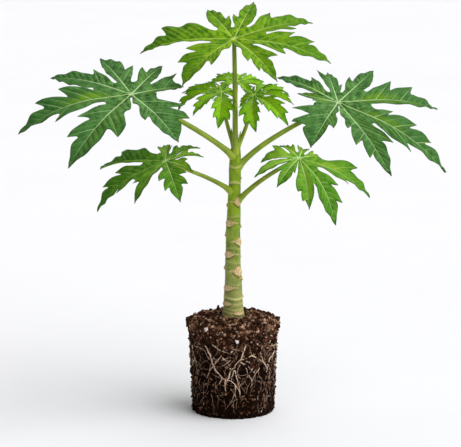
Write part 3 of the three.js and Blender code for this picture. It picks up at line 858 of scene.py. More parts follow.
# How far from the hub the notch ends, on young blades and on others
NOTCH_CUT = {True: 6.0, False: 10.0}
# The bottom of a cut lies at most this angle off the lobe before it
WIDEST_CUT = 40.0
# A lobe spreads over no more than this angle beside its midrib, less a little for its neighbour
WIDEST_HALF = 45.0
LOBE_GAP = 1.3
# An edge has its own width where its lobe has this slope of room, and grows and shrinks within these limits
USUAL_SLOPE = 0.225 / 0.54
WIDTH_LIMITS = (0.62, 1.25)
# Side lobes on a lobe's two sides are set this far apart along it, and side veins leave at this slope
STAGGER = 0.03
SIDE_VEIN = math.tan(math.radians(42))
# A blade folds up beside each midrib, at first by this angle and past the cuts by its edge's own, and arches
FOLD = 15.0
FOLD_RUN = 0.2
FOLD_ARCH = 0.0028
LIFT_CUT = 0.27


@dataclass(frozen=True)
class Gap:
    """The gap on one side of a lobe: its angle, this lobe's share, and the cut at its bottom."""

    notch: bool
    turn: float
    half: float
    opening: float
    cut: float


@dataclass
class Blade:
    """A leaf blade: half lobes of rows that run from the midrib to the edge, all meeting at the hub."""

    plan: LeafPlan
    row_step: float = 1.9
    columns: int = 10
    # Columns crowd towards the midrib by this power
    crowding: float = 1.2
    hub_rows: int = 10
    thickness: float = 0.8
    # Side veins stand this share of a lobe's length apart, and as if it were at least the shortest
    vein_step: float = 0.075
    shortest: float = 60.0
    # How clearly the veins to side lobes' tips show beside the midrib, and those between them
    main_vein: float = 0.5
    side_vein: float = 0.18
    # How far tissue swells between side veins, and how far the edge waves, in shares of a lobe's length
    quilt: float = 0.009
    wave: float = 0.01
    lip: float = 0.018
    rib: float = 1.5
    axes: tuple[Array, Array, Array] = field(init=False)

    def __post_init__(self) -> None:
        """Works out the blade's own axes: ahead, left and up out of its upper face."""
        ahead = direction(self.plan.heading, self.plan.rise)
        level = direction(self.plan.heading + 90, 0)
        roll = math.radians(self.plan.roll)
        left = level * math.cos(roll) + np.cross(ahead, level) * math.sin(roll)
        self.axes = (ahead, left, np.cross(ahead, left))
        if self.young:
            self.row_step, self.columns, self.hub_rows = 1.4, 8, 8
            self.thickness, self.rib = 0.6, 0.8

    @property
    def young(self) -> bool:
        """Tells whether the leaf is one of the small ones round the growing tip."""
        return self.plan.age is LeafAge.YOUNG

    def edge(self, lobe: Lobe, side: int) -> Edge:
        """Picks the edge on one side of a lobe.

        Args:
            lobe: The lobe.
            side: 1 for the side of growing spread, or -1 for the other.

        Returns:
            The edge.
        """
        if self.young:
            return YOUNG_EDGE
        return SHORT_EDGE if lobe.length < SHORT_LOBE else EDGES[lobe.edges[side < 0]]

    def gap(self, index: int, side: int) -> Gap:
        """Works out the gap on one side of a lobe.

        Args:
            index: The lobe's number.
            side: 1 or -1.

        Returns:
            The gap as this lobe sees it.
        """
        rows = self.plan.lobes
        first = index if side == -1 else index - 1
        notch = first in (-1, len(rows) - 1)
        before, after = rows[first], rows[(first + 1) % len(rows)]
        turn = abs(before.spread - after.spread)
        turn = 360 - turn if notch else turn
        room = self.edge(before, -1).room
        before_half = turn * room / (room + self.edge(after, 1).room)
        # The bottom of the cut is placed from the lobe before it, and in the notch from the lobe after it
        opening = turn - min(turn - before_half, WIDEST_CUT) if notch else min(before_half, WIDEST_CUT)
        cut = NOTCH_CUT[self.young] if notch else before.cut * math.sqrt(before.length * after.length)
        if side == -1:
            return Gap(notch, turn, before_half, opening, cut)
        return Gap(notch, turn, turn - before_half, turn - opening, cut)

    def edge_line(self, index: int, side: int) -> tuple[Array, Array]:
        """Draws half a lobe's edge from the bottom of its cut to its tip, with sharp side lobes.

        Args:
            index: The lobe's number.
            side: 1 or -1.

        Returns:
            The edge as rows of along and across, and the places of the side lobes' tips among its rows.
        """
        lobe, gap = self.plan.lobes[index], self.gap(index, side)
        slope = math.tan(math.radians(min(gap.half, WIDEST_HALF) - LOBE_GAP))
        narrowest, widest = WIDTH_LIMITS
        width = min(max(slope / USUAL_SLOPE, narrowest), widest) * lobe.wide[side < 0]
        opening = math.radians(gap.opening)
        start = np.array([math.cos(opening), math.sin(opening)]) * gap.cut
        across_gap = np.array([math.sin(opening), -math.cos(opening)]) * self.lip * lobe.length
        keys = [start, start + across_gap]
        for along, across in (*(NOTCH_EDGE if gap.notch else ()), *self.edge(lobe, side).outline):
            place = along + side * STAGGER * (1 - along) / 2
            keys.append(np.array([place, min(across * width, place * slope)]) * lobe.length)
        keys.append(np.array([lobe.length, 0.0]))
        points = np.array(keys)
        corners = [k for k in range(2, len(points) - 1) if points[k + 1, 0] < points[k, 0]]
        runs, tips, count = [], [], 0
        for begin, end in zip([0, *corners], [*corners, len(points) - 1]):
            run = rounded(points[begin : end + 1])
            runs.append(run if not runs else run[1:])
            count += len(runs[-1])
            tips.append(count - 1)
        return np.vstack(runs), np.array(tips[:-1], int)

    def stations(self, index: int) -> dict[str, Any]:
        """Chooses where rows leave a lobe's midrib, so that both halves share them and hit every tip.

        Args:
            index: The lobe's number.

        Returns:
            Where the rows past the cuts start, the places of the rows along the midrib, and each side's edge
            line with its tips and its own places.
        """
        length = self.plan.lobes[index].length
        sides = {}
        for side in (1, -1):
            line, tips = self.edge_line(index, side)
            place = np.maximum.accumulate(line[:, 0] - line[:, 1] / SIDE_VEIN)
            sides[side] = (line, tips, place + np.arange(len(place)) * 1e-4)
        start = max(0.06 * length, np.mean([place[0] for _, _, place in sides.values()]))
        for side, (line, tips, place) in sides.items():
            fitted = start + (place - place[0]) * (length - start) / (place[-1] - place[0])
            sides[side] = (line, tips, fitted)
        fixed = {start, length}
        for _, tips, place in sides.values():
            fixed.update(place[tips])
        fixed = sorted(fixed)
        marks = [start]
        for low, high in zip(fixed, fixed[1:]):
            if high - low > 0.05:
                steps = max(2, math.ceil((high - low) / self.row_step) + 1)
                marks.extend(np.linspace(low, high, steps)[1:])
        return {"start": start, "marks": np.array(marks), "sides": sides}

    def half_lobe(self, index: int, side: int, rows: dict[str, Any]) -> dict[str, Array]:
        """Lays out the rows of half a lobe on the flat, from the hub to the tip.

        Args:
            index: The lobe's number.
            side: 1 or -1.
            rows: What stations gave for the lobe.

        Returns:
            Grids of along, across, share of the way out, vein count, vein weight and distance to the edge.
        """
        length, gap = self.plan.lobes[index].length, self.gap(index, side)
        line, tips, place = rows["sides"][side]
        start, marks = rows["start"], rows["marks"]
        opening = math.radians(gap.opening)
        inner = np.linspace(0, 1, self.hub_rows + 1)[:-1]
        spine = np.concatenate([inner * start, marks])
        edge_along, edge_across = (
            np.concatenate([inner * gap.cut * reach, np.interp(marks, place, line[:, axis])])
            for axis, reach in enumerate((math.cos(opening), math.sin(opening))))
        edge_across[-1] = 0.0
        out = (np.arange(self.columns + 1) / self.columns) ** self.crowding
        along = spine[:, None] + (edge_along - spine)[:, None] * out
        across = edge_across[:, None] * out

        # Side veins are counted along the midrib, and a whole one runs to each side lobe's tip
        step = self.vein_step * max(length, self.shortest)
        knots = [0.0, *place[tips], length]
        counts = [0.0]
        for low, high in zip(knots, knots[1:]):
            counts.append(counts[-1] + max(1, round((high - low) / step)))
        veins = np.interp(spine, knots, counts)
        major = np.min(np.abs(veins[:, None] - np.array(counts[1:-1] or [-9.0])), axis=1)
        weight = self.side_vein + (self.main_vein - self.side_vein) * (major < 0.5)
        # Where lobes share tissue there is no edge, and the free edge is nearer than a slanting row is long
        run_out = np.hypot(edge_along - spine, edge_across)
        shared = np.concatenate([np.ones(len(inner)), ease(marks, start * 1.3, start)])
        to_edge = (1 - out) * run_out[:, None] * 0.7 + shared[:, None] * 9
        spread = np.ones_like(along)
        return {"along": along, "across": across, "out": out * spread, "veins": veins[:, None] * spread,
                "weight": weight[:, None] * spread, "to_edge": to_edge}

    def lift(self, index: int, side: int, along: Array, across: Array) -> Array:
        """Gives how far the blade rises beside a midrib, evened out where two lobes share the middle.

        Args:
            index: The lobe's number.
            side: 1 or -1.
            along: Distances along the midrib.
            across: Distances out from it.

        Returns:
            The rise at each point, square to the midrib.
        """
        lobe, gap = self.plan.lobes[index], self.gap(index, side)
        steep = self.edge(lobe, side).fold
        fold = FOLD + (steep - FOLD) * np.clip((along / lobe.length - LIFT_CUT) / FOLD_RUN, 0, 1)
        rise = np.maximum(0, np.tan(np.radians(fold)) * across - FOLD_ARCH * across**2)
        from_hub = np.hypot(along, across)
        reach = np.clip(from_hub, 1e-3, gap.cut)
        slope = math.tan(math.radians(FOLD))
        crests = []
        for angle in (gap.opening, gap.turn - gap.opening):
            out = reach * math.sin(math.radians(angle))
            crests.append(slope * out - FOLD_ARCH * out**2)
        even = (crests[0] + crests[1]) / 2 / np.maximum(crests[0], 1e-3)
        fade = 1 - ease(from_hub, gap.cut, gap.cut * 1.9)
        return rise * (1 + (even - 1) * fade)

    def bend(self, index: int, side: int, along: Array, across: Array, lift: Array) -> Array:
        """Places flat points of a lobe in space, bent down past the cut and folded up beside the midrib.

        Args:
            index: The lobe's number.
            side: 1 or -1.
            along: Distances along the midrib.
            across: Distances out from it.
            lift: The rise at each point.

        Returns:
            The points in millimetres, with a last axis of three.
        """
        ahead, left, up = self.axes
        lobe = self.plan.lobes[index]
        turned = math.radians(lobe.spread)
        forth = ahead * math.cos(turned) + left * math.sin(turned)
        beside = left * math.cos(turned) - ahead * math.sin(turned)
        start = LIFT_CUT * lobe.length
        curl = math.radians(max(lobe.droop, 0.1)) / (lobe.length - start)
        turn = curl * np.maximum(0, along - start)
        forward = np.minimum(along, start) + np.sin(turn) / curl
        down = (1 - np.cos(turn)) / curl
        hub = np.array(self.plan.hub, float)
        return (hub + forth * (forward + np.sin(turn) * lift)[..., None]
                + beside * (side * across)[..., None] + up * (np.cos(turn) * lift - down)[..., None])

    def relief(self, index: int, side: int, half: dict[str, Array]) -> Array:
        """Gives the swelling between side veins and the waving of the free edge.

        Args:
            index: The lobe's number.
            side: 1 or -1.
            half: What half_lobe gave.

        Returns:
            The rise at each point.
        """
        length = self.plan.lobes[index].length
        swell = np.sin(np.pi * half["veins"]) ** 2 * np.sin(np.pi * half["out"]) * self.quilt * length
        free = ease(np.hypot(half["along"], half["across"]), self.gap(index, side).cut, 0.5 * length)
        wave = np.sin(half["veins"] * 2.1 + index * 1.7 + side) * half["out"] ** 2 * self.wave * length
        return swell + wave * free

    def painted_glow(self, index: int, side: int, half: dict[str, Array]) -> Array:
        """Gives the share of painted glow, light painted as shining through the tissue: most beside the
        midrib of a steep or glowing half.

        Args:
            index: The lobe's number.
            side: 1 or -1.
            half: What half_lobe gave.

        Returns:
            The share of the painted glow colour at each point.
        """
        lobe = self.plan.lobes[index]
        steep = (self.edge(lobe, side).fold - FOLD) / (PLAIN.fold - FOLD)
        out, along = half["out"], half["along"] / lobe.length
        broad = 0.7 * steep * (1 - ease(out, 0.45, 0.95)) * (1 - ease(along, 0.7, 0.95))
        narrow = lobe.glow[side < 0] * (1 - ease(out, 0.15, 0.55)) * (1 - ease(along, 0.38, 0.66))
        return np.maximum(broad, narrow) * ease(out, 0.01, 0.08) * ease(along, 0.14, 0.3)

    def upper_face(self) -> bpy.types.Object:
        """Builds the blade's upper face as one sheet, with its marks.

        Returns:
            The sheet.
        """
        count = len(self.plan.lobes)
        halves, grids = {}, {}
        for index in range(count):
            rows = self.stations(index)
            for side in (1, -1):
                half = self.half_lobe(index, side, rows)
                lift = self.lift(index, side, half["along"], half["across"])
                lift += self.relief(index, side, half)
                halves[index, side] = half
                grids[index, side] = self.bend(index, side, half["along"], half["across"], lift)
        # Neighbours agree on the line between them, up to the bottom of their cut
        shared = slice(self.hub_rows + 1)
        for index in range(count):
            pair = ((index, -1), ((index + 1) % count, 1))
            lines = [grids[key][shared, -1].copy() for key in pair]
            agreed = (lines[0] + lines[1]) / 2
            for key, line in zip(pair, lines):
                pull = halves[key]["out"][shared, :, None] ** 2
                grids[key][shared] += (agreed - line)[:, None] * pull
                grids[key][shared, -1] = agreed
        points, faces, marks, total = [], [], {"ribs": [], "edge": [], "lobe": []}, 0
        for (index, side), grid in grids.items():
            half = halves[index, side]
            rows, columns = grid.shape[:2]
            numbers = np.arange(rows * columns).reshape(rows, columns) + total
            quads = np.stack([numbers[:-1, :-1], numbers[1:, :-1], numbers[1:, 1:], numbers[:-1, 1:]], -1)
            quads = quads.reshape(-1, 4)
            faces.append(quads if side == 1 else quads[:, ::-1])
            points.append(grid.reshape(-1, 3))
            along_share = half["along"] / self.plan.lobes[index].length
            from_hub = np.hypot(half["along"], half["across"])
            # The edge mark's third number is the share of painted glow
            for name, values in {
                "ribs": (half["veins"], half["across"], half["weight"]),
                "edge": (half["out"], half["to_edge"], self.painted_glow(index, side, half)),
                "lobe": (along_share, from_hub),
            }.items():
                marks[name].append(np.array([grid.ravel() for grid in values]))
            total += rows * columns
        faces = np.vstack(faces)
        sheet = mesh_piece(f"blade_{self.plan.name}", np.vstack(points), faces)
        for name, values in marks.items():
            mark(sheet, name, np.hstack(values)[:, faces.ravel()], "CORNER")
        select_only(sheet)
        bpy.ops.object.mode_set(mode="EDIT")
        bpy.ops.mesh.select_all(action="SELECT")
        bpy.ops.mesh.remove_doubles(threshold=2e-3 * MM)
        bpy.ops.object.mode_set(mode="OBJECT")
        return sheet

    def lower_ribs(self) -> bpy.types.Object:
        """Builds the midribs and main side veins that stand out below the blade.

        Returns:
            The ribs as one mesh.
        """
        up = self.axes[2]
        lines = []
        longest = max(lobe.length for lobe in self.plan.lobes)
        for index, lobe in enumerate(self.plan.lobes):
            along = np.linspace(0.01, 0.97, 26) * lobe.length
            zero = np.zeros_like(along)
            slimming = (1 - along / lobe.length) ** 0.8
            thick = self.rib * (lobe.length / longest) ** 0.5 * slimming + 0.25
            middle = self.bend(index, 1, along, zero, zero)
            lines.append((middle - up * (self.thickness + thick * 0.3)[:, None], thick))
            rows = self.stations(index)
            share = np.linspace(0.0, 0.9, 12)
            thin = self.rib * 0.45 * (1 - share) + 0.2
            for side in (1, -1):
                edge, tips, place = rows["sides"][side]
                for tip in tips:
                    out_along = place[tip] + (edge[tip, 0] - place[tip]) * share
                    out_across = edge[tip, 1] * share
                    lift = self.lift(index, side, out_along, out_across)
                    path = self.bend(index, side, out_along, out_across, lift)
                    lines.append((path - up * (self.thickness + thin * 0.3)[:, None], thin))
        return sweep(f"ribs_{self.plan.name}", lines, 8)

    def build(self) -> bpy.types.Object:
        """Builds the whole blade, with an upper and a lower face, and hands it over.

        Returns:
            The blade's piece.
        """
        sheet = self.upper_face()
        apply_modifier(sheet, "SOLIDIFY", thickness=self.thickness * MM, offset=-1, material_offset=1,
                       use_quality_normals=True)
        ribs = self.lower_ribs()
        under = np.zeros(len(sheet.data.polygons), int)
        sheet.data.polygons.foreach_get("material_index", under)
        all_faces = np.concatenate([under, np.full(len(ribs.data.polygons), 2)])
        select_only(sheet)
        ribs.select_set(True)
        bpy.ops.object.join()
        finishes = (UPPER_SIDES[self.plan.age], UNDERSIDES[self.plan.age], STALK_SKIN)
        hand_over(sheet, finishes, [f"leaf_{self.plan.name}"])
        sheet.data.polygons.foreach_set("material_index", all_faces)
        return sheet


@dataclass
class Trunk:
    """The soft green trunk: its lean, its taper, and the scars that fallen leaves left on it."""

    foot: float = 168.0
    # Its centre line as X and height, and its radius at each height
    line: tuple = ((0, 168.0), (-0.5, 260), (0, 325), (2, 385), (3.5, 430), (4, 468))
    taper: tuple = (
        (168.0, 18.6), (172, 17.6), (182, 16.8), (198, 16), (214, 15.2), (232, 14.2), (266, 13), (300, 12.4),
        (330, 12), (356, 11.2), (385, 10.4), (398, 10), (418, 10.4), (440, 9.6), (452, 8.4), (461, 6.4),
        (466, 4), (468, 1.6))
    sunk: float = 9.0
    step: float = 1.1
    sides: int = 96
    # Leaf scars as angle from the front, height, half width and half height, up the spiral they grew in
    scars: tuple = (
        (30, 172, 10, 4.4), (-50, 188, 11, 5.6), (112, 200, 8, 5.5), (-150, 208, 8, 6), (-44, 216, 11, 7.4),
        (96, 232, 7.6, 6.4), (42, 245, 10.4, 11), (-172, 238, 8, 7), (-108, 250, 7, 6.4),
        (-42, 274, 10.4, 7.4), (132, 268, 7.6, 7), (56, 296, 9.4, 9), (-140, 292, 7.4, 7),
        (-100, 308, 6.6, 6), (-38, 328, 9.4, 7.6), (112, 322, 7, 6.4), (168, 344, 6.8, 6.6),
        (42, 365, 9.0, 9.6), (-110, 358, 6.2, 5.6), (-160, 392, 5.8, 5.2), (122, 404, 5.6, 5))
    # Pale rings left by leaf bases, as height and strength, each with a crease this far below it, where shade
    # is painted dark
    rings: tuple = ((168, 1.0), (172, 0.8), (178, 0.6), (186, 0.4), (197, 1.0), (222, 0.3), (259, 0.3),
                    (283, 0.3), (338, 0.35), (396, 1.0), (424, 0.7))
    crease_drop: float = 3.0
    scar_height: float = 2.1
    crease_depth: float = 0.9

    def centre(self, height: Array | float) -> Array:
        """Gives the centre line's X at a height."""
        return np.interp(height, [z for _, z in self.line], [x for x, _ in self.line])

    def radius(self, height: Array | float) -> Array:
        """Gives the trunk's radius at a height."""
        return np.interp(height, [z for z, _ in self.taper], [r for _, r in self.taper])

    def marks(self, around: Array, height: Array, radius: Array) -> tuple[Array, Array, Array, Array]:
        """Works out the scars, the painted shade in creases, the rings and the relief at points on the skin.

        Args:
            around: Angles from the front, in degrees.
            height: Heights.
            radius: The trunk's radius there.

        Returns:
            How much of a scar, of painted crease shade with the scars' own brown tips, and of a ring is at
            each point, and how far it stands out.
        """
        scar, crease_shade_and_tips, ring = (np.zeros_like(height) for _ in range(3))
        turned = np.radians(around)
        relief = 0.25 * np.sin(height / 9.0 + turned) + 0.2 * np.sin(turned * 3 + height / 23)
        for level, strength in self.rings:
            off = height - level - 1.6 * np.cos(turned * 2 + level)
            ring = np.maximum(ring, strength * bump(off, 0, 2.2))
            # Shade painted in the groove below each ring
            crease_shade_and_tips = np.maximum(crease_shade_and_tips, 0.55 * strength * bump(off, -self.crease_drop, 0.9))
            relief += 0.35 * strength * (bump(off, 0, 2.4) - bump(off, -self.crease_drop, 1.2))
        for angle, level, half_width, half_height in self.scars:
            turn = (around - angle + 180) % 360 - 180
            x = np.radians(turn) * radius / half_width
            y = (height - level) / half_height
            # A shield: pointed above, widest below its middle, and a shallow point at its foot
            shape = np.where(y > -0.25, (y + 0.25) / 1.25, (-0.25 - y) / 0.75)
            border = np.abs(x) ** 1.3 + np.abs(shape) ** 1.1
            plate = 1 - ease(border, 0.74, 1.06)
            lip = plate * ease(-y, -0.9, 0.7)
            # Below the shield is a fold with painted shade in it, and from its shoulders thin wings run round
            # the trunk
            fold = bump(border, 1.22, 0.16) * ease(-y, 0.05, 0.5)
            stretch = np.clip((np.abs(x) - 0.6) / 1.5, 0, 1)
            wing = bump(y, 0.05 - 0.2 * stretch, 0.3 * (1 - stretch) + 0.03) * (stretch < 1)
            wing *= np.abs(x) > 0.6
            tip = bump(x, 0, 0.22) * bump(y, 0.85, 0.22)
            scar = np.maximum(scar, np.maximum(plate, wing * 0.75))
            # Painted shade in the fold under the scar, and the scar's own brown tip
            crease_shade_and_tips = np.maximum(crease_shade_and_tips, np.maximum(fold * 0.85, tip * 0.8))
            relief += self.scar_height * lip + 0.5 * wing - self.crease_depth * fold
        return scar, crease_shade_and_tips, ring, relief

    def build(self) -> bpy.types.Object:
        """Builds the trunk's skin with its relief and hands it over.

        Returns:
            The trunk's piece.
        """
        top = self.taper[-1][0]
        height = np.arange(self.foot - self.sunk, top + self.step / 2, self.step)
        centres = np.column_stack([self.centre(height), np.zeros_like(height), height])
        piece = sweep("trunk_skin", [(centres, self.radius(height))], self.sides)
        points = points_of(piece)
        out = points[:, :2] - np.column_stack([self.centre(points[:, 2]), np.zeros(len(points))])
        radius = np.hypot(out[:, 0], out[:, 1])
        around = np.degrees(np.arctan2(out[:, 0], -out[:, 1]))
        scar, crease_shade_and_tips, ring, relief = self.marks(around, points[:, 2], radius)
        relief *= 1 - ease(points[:, 2], 440, 460)
        points[:, :2] += out / np.maximum(radius, 1e-3)[:, None] * relief[:, None]
        move_points(piece, points)
        mark(piece, "scar", (scar, crease_shade_and_tips, ring))
        return hand_over(piece, [BARK], ["trunk"])


@dataclass
class Stalk:
    """A leaf stalk: it swells where it springs from the trunk and bends up to the underside of its blade."""

    plan: LeafPlan
    trunk: Trunk
    sides: int = 28
    step: float = 2.5
    swell_length: float = 12.0
    cuff: float = 1.2
    cuff_length: float = 5.0
    # It widens over this length under its blade, and is trimmed this far below the blade's plane
    flare_length: float = 7.0
    under: float = 0.7
    trimmed: float = 20.0

    def line(self) -> Strand:
        """Works out the stalk's course and its radius along it.

        Returns:
            The points and the radius at each, in millimetres.
        """
        way = self.plan.stalk
        start = np.array([self.trunk.centre(way.height), 0.0, way.height])
        hub = np.array(self.plan.hub, float)
        heading = math.degrees(math.atan2(hub[1] - start[1], hub[0] - start[0]))
        leaving = start + direction(way.heading, way.slope) * way.reach
        arriving = hub - direction(heading, way.arrive) * way.end
        share = np.linspace(0, 1, 200)[:, None]
        bezier = ((1 - share) ** 3 * start + 3 * (1 - share) ** 2 * share * leaving
                  + 3 * (1 - share) * share**2 * arriving + share**3 * hub)
        points = evenly(bezier, self.step)
        reach = np.linspace(0, 1, len(points))
        length = self.step * (len(points) - 1)
        off_skin = np.maximum(0, reach * length - self.trunk.radius(way.height))
        radius = way.base + (way.tip - way.base) * reach
        for extra, fading in ((way.swell, self.swell_length), (self.cuff, self.cuff_length)):
            radius += extra * np.exp(-off_skin / fading)
        radius += 0.5 * way.tip * ease(reach * length, length - self.flare_length, length)
        return points, radius

    def build(self) -> bpy.types.Object:
        """Builds the stalk, trims it under its blade and hands it over.

        Returns:
            The stalk's piece.
        """
        line, radii = self.line()
        piece = sweep(f"leaf_stalk_{self.plan.name}", [(line, radii)], self.sides)
        points = points_of(piece)
        up = Blade(self.plan).axes[2]
        from_hub = points - np.array(self.plan.hub, float)
        above = from_hub @ up + self.under
        near = np.linalg.norm(from_hub, axis=1) < self.trimmed
        points -= np.where(near & (above > 0), above, 0)[:, None] * up
        move_points(piece, points)
        # Each point's distance along the stalk from the trunk's skin, and its way round the stalk
        nearest = np.linalg.norm(points[:, None] - line[None], axis=2).argmin(axis=1)
        reach = nearest * self.step - float(self.trunk.radius(self.plan.stalk.height))
        ahead = np.gradient(line, axis=0)[nearest]
        ahead /= np.linalg.norm(ahead, axis=1)[:, None]
        sideways = np.cross(ahead, [0.0, 0.0, 1.0])
        sideways /= np.maximum(np.linalg.norm(sideways, axis=1), 1e-6)[:, None]
        off = points - line[nearest]
        around = np.arctan2(np.einsum("ij,ij->i", off, sideways), off[:, 2])
        mark(piece, "run", (reach, around * self.plan.stalk.base))
        return hand_over(piece, [STALK_SKIN], [f"stalk_{self.plan.name}"])


@dataclass
class GrowingTip:
    """The bud on top of the trunk: a few folded leaves that are only starting, each a small curved spike."""

    trunk: Trunk
    height: float = 458.0
    # Each spike as heading, lean, length and radius
    spikes: tuple = ((20, 26, 26, 2.4), (150, 20, 30, 2.6), (265, 30, 22, 2.2), (85, 34, 24, 2.2),
                     (205, 36, 18, 2.0), (320, 38, 17, 1.9), (0, 4, 24, 2.6))
    points: int = 14
    off_middle: float = 2.5

    def build(self) -> bpy.types.Object:
        """Builds the spikes as one piece and hands it over.

        Returns:
            The bud's piece.
        """
        lines = []
        share = np.linspace(0, 1, self.points)
        root = np.array([float(self.trunk.centre(self.height)), 0.0, self.height])
        for heading, lean, length, radius in self.spikes:
            side = np.sin(np.radians(lean)) * length * share * (1 - 0.45 * share)
            line = root + direction(heading, 0) * (self.off_middle + side)[:, None]
            line[:, 2] += length * share
            lines.append((line, radius * (1 - share) ** 0.7 * (0.75 + 0.5 * share) + 0.15))
        piece = sweep("growing_tip", lines, 12)
        points = points_of(piece)
        mark(piece, "run", (points[:, 2] - self.height, points[:, 0]))
        return hand_over(piece, [STALK_SKIN])


@dataclass
class RootBall:
    """The moulded ball of soil, its crumbs and perlite, and the roots that lie on its side."""

    foot: float = 69.0
    foot_edge: float = 2.0
    rim: float = 75.4
    rim_height: float = 149.0
    # The rounded shoulder and the mound, as radius and height
    top: tuple = ((74.4, 154), (70, 158), (57, 162.5), (24, 167.7))
    voxel: float = 1.7
    # The soil's relief, as each texture's name, kind, size and height
    roughness: tuple = (("soil_lumps", "CLOUDS", 24, 4.5), ("soil_clods", "VORONOI", 9, -4.2),
                        ("soil_grit", "CLOUDS", 3.6, 3.0))
    # Soil below the first of these heights is pressed down, and below the second it is flat
    base_rise: tuple[float, float] = (15.0, 8.0)
    # A ragged lip stands out round the rim
    lip: float = 2.4
    lip_spread: float = 8.0
    # Round the trunk, the soil is this high and its crumbs are small
    collar: float = 22.0
    collar_end: float = 36.0
    collar_height: float = 161.4
    seed: int = 7
    core: bpy.types.Object = field(init=False)
    tree: BVHTree = field(init=False)
    rng: np.random.Generator = field(init=False)
    # The core's triangles: their corners, areas, centres and normals
    triangles: Array = field(init=False)
    areas: Array = field(init=False)
    centres: Array = field(init=False)
    normals: Array = field(init=False)

    # Root lines as [angle from the front, height], radius and side root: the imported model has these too
    main_roots: tuple = (
        (((16, 129), (12, 117), (9, 105), (2, 95), (-5, 82)), 1.5,
         ((9, 105), (18, 108), (24, 111), (31, 113))),
        (((-40, 125), (-34, 116), (-31, 106), (-27, 92), (-17, 75), (-11, 69), (-4, 69), (2, 62), (8, 51)),
         1.4, ((-11, 69), (-11, 58), (-10, 42))),
        (((69, 112), (59, 99), (53, 87), (49, 77)), 1.4, ((51, 83), (42, 100), (38, 115), (42, 125))),
        (((-67, 120), (-68, 107), (-58, 92), (-53, 78)), 1.2, ((-63, 98), (-70, 88), (-72, 76))),
    )
    # The same roots round the rest of the ball, as [which one, the angle of its middle]
    roots_round: tuple = ((0, 91), (3, 122), (2, 150), (0, 187), (3, 218), (2, 247), (3, 273))
    # Thinner roots of the front, which are laid again round the rest of the ball
    thin_roots: tuple = (
        (((-5, 82), (-6, 76), (-9, 66), (-13, 58)), 1.1),
        (((3, 95), (1, 84), (-2, 72), (-3, 63)), 0.9),
        (((2, 91), (3, 79), (6, 66), (8, 55), (9, 46)), 1.1),
        (((24, 111), (34, 104), (42, 97), (50, 88)), 1.05),
        (((10, 101), (15, 94), (18, 87), (20, 74)), 0.75),
        (((9, 96), (5, 84), (8, 73), (13, 71), (20, 74)), 0.7),
        (((20, 79), (26, 66), (24, 54)), 0.8),
        (((8, 51), (9, 45), (9, 39)), 0.8),
        (((-15, 112), (-21, 102), (-26, 93), (-34, 81), (-38, 69)), 0.9),
        (((-15, 108), (-9, 101), (-4, 93)), 0.7),
        (((-15, 73), (-20, 61), (-26, 54)), 0.75),
        (((2, 63), (4, 52), (0, 38), (-5, 29)), 0.8),
        (((-36, 116), (-27, 107), (-20, 100)), 0.75),
        (((14, 119), (6, 123), (-2, 123)), 0.65),
        (((-28, 129), (-21, 123), (-14, 119), (-4, 116)), 0.7),
        (((29, 89), (22, 82), (18, 72)), 0.8),
        (((-56, 121), (-42, 118), (-33, 102)), 0.75),
        (((38, 87), (31, 78), (26, 64)), 0.8),
        (((-25, 101), (-16, 104), (-6, 109), (2, 107)), 0.7),
        (((5, 100), (14, 98), (22, 91), (27, 80)), 0.65),
        (((-4, 104), (-10, 96), (-19, 90), (-27, 92)), 0.6),
        (((-2, 76), (-8, 70), (-17, 67)), 0.6),
    )
    turns: tuple = (0, 118, 239)
    hair_count: int = 230
    hair_step: float = 5.0
    # Perlite grains that stand out, in front as angle, height and radius, and on top as X, Y and radius
    front_perlite: tuple = ((5, 137, 3.7), (-36, 155, 3.3), (-2, 119, 1.7), (-29, 142, 1.9), (59, 138, 1.6),
                            (56, 127, 1.4), (33, 129, 1.4), (-62, 140, 1.4))
    top_perlite: tuple = ((-29, -1, 2.0), (-40, -42, 1.9), (-55, -44, 1.7), (32, 33, 1.8), (57, 13, 1.6),
                          (50, -43, 1.8), (64, 20, 1.5))

    def __post_init__(self) -> None:
        """Starts the seeded random numbers."""
        self.rng = np.random.default_rng(self.seed)

    def turn_core(self) -> bpy.types.Object:
        """Makes the ball's plain form: a cone with a shoulder and a mound inset on its top.

        Returns:
            The core, still smooth.
        """
        select_only()
        bpy.ops.mesh.primitive_cone_add(
            vertices=96, radius1=self.foot * MM, radius2=self.rim * MM, depth=self.rim_height * MM,
            location=(0, 0, self.rim_height / 2 * MM))
        core = bpy.context.object
        core.name = "soil_core"
        bpy.ops.object.transform_apply(location=True, rotation=True, scale=True)
        bpy.ops.object.mode_set(mode="EDIT")
        bpy.ops.mesh.select_mode(type="FACE")
        bpy.ops.mesh.select_all(action="DESELECT")
        bpy.ops.object.mode_set(mode="OBJECT")
        for face in core.data.polygons:
            face.select = face.normal.z > 0.9
        bpy.ops.object.mode_set(mode="EDIT")
        radius, height = self.rim, self.rim_height
        for next_radius, next_height in self.top:
            bpy.ops.mesh.inset(thickness=(radius - next_radius) * MM, depth=(next_height - height) * MM)
            radius, height = next_radius, next_height
        bpy.ops.object.mode_set(mode="OBJECT")
        return core

    def build_core(self) -> None:
        """Roughens the plain ball into soil, presses its base flat and hands it over."""
        core = self.turn_core()
        apply_modifier(core, "REMESH", mode="VOXEL", voxel_size=self.voxel * MM)
        for name, kind, size, strength in self.roughness:
            texture = bpy.data.textures.new(name, kind)
            texture.noise_scale = size * MM
            apply_modifier(core, "DISPLACE", texture=texture, texture_coords="LOCAL", strength=strength * MM,
                           mid_level=0.5)
        points = points_of(core)
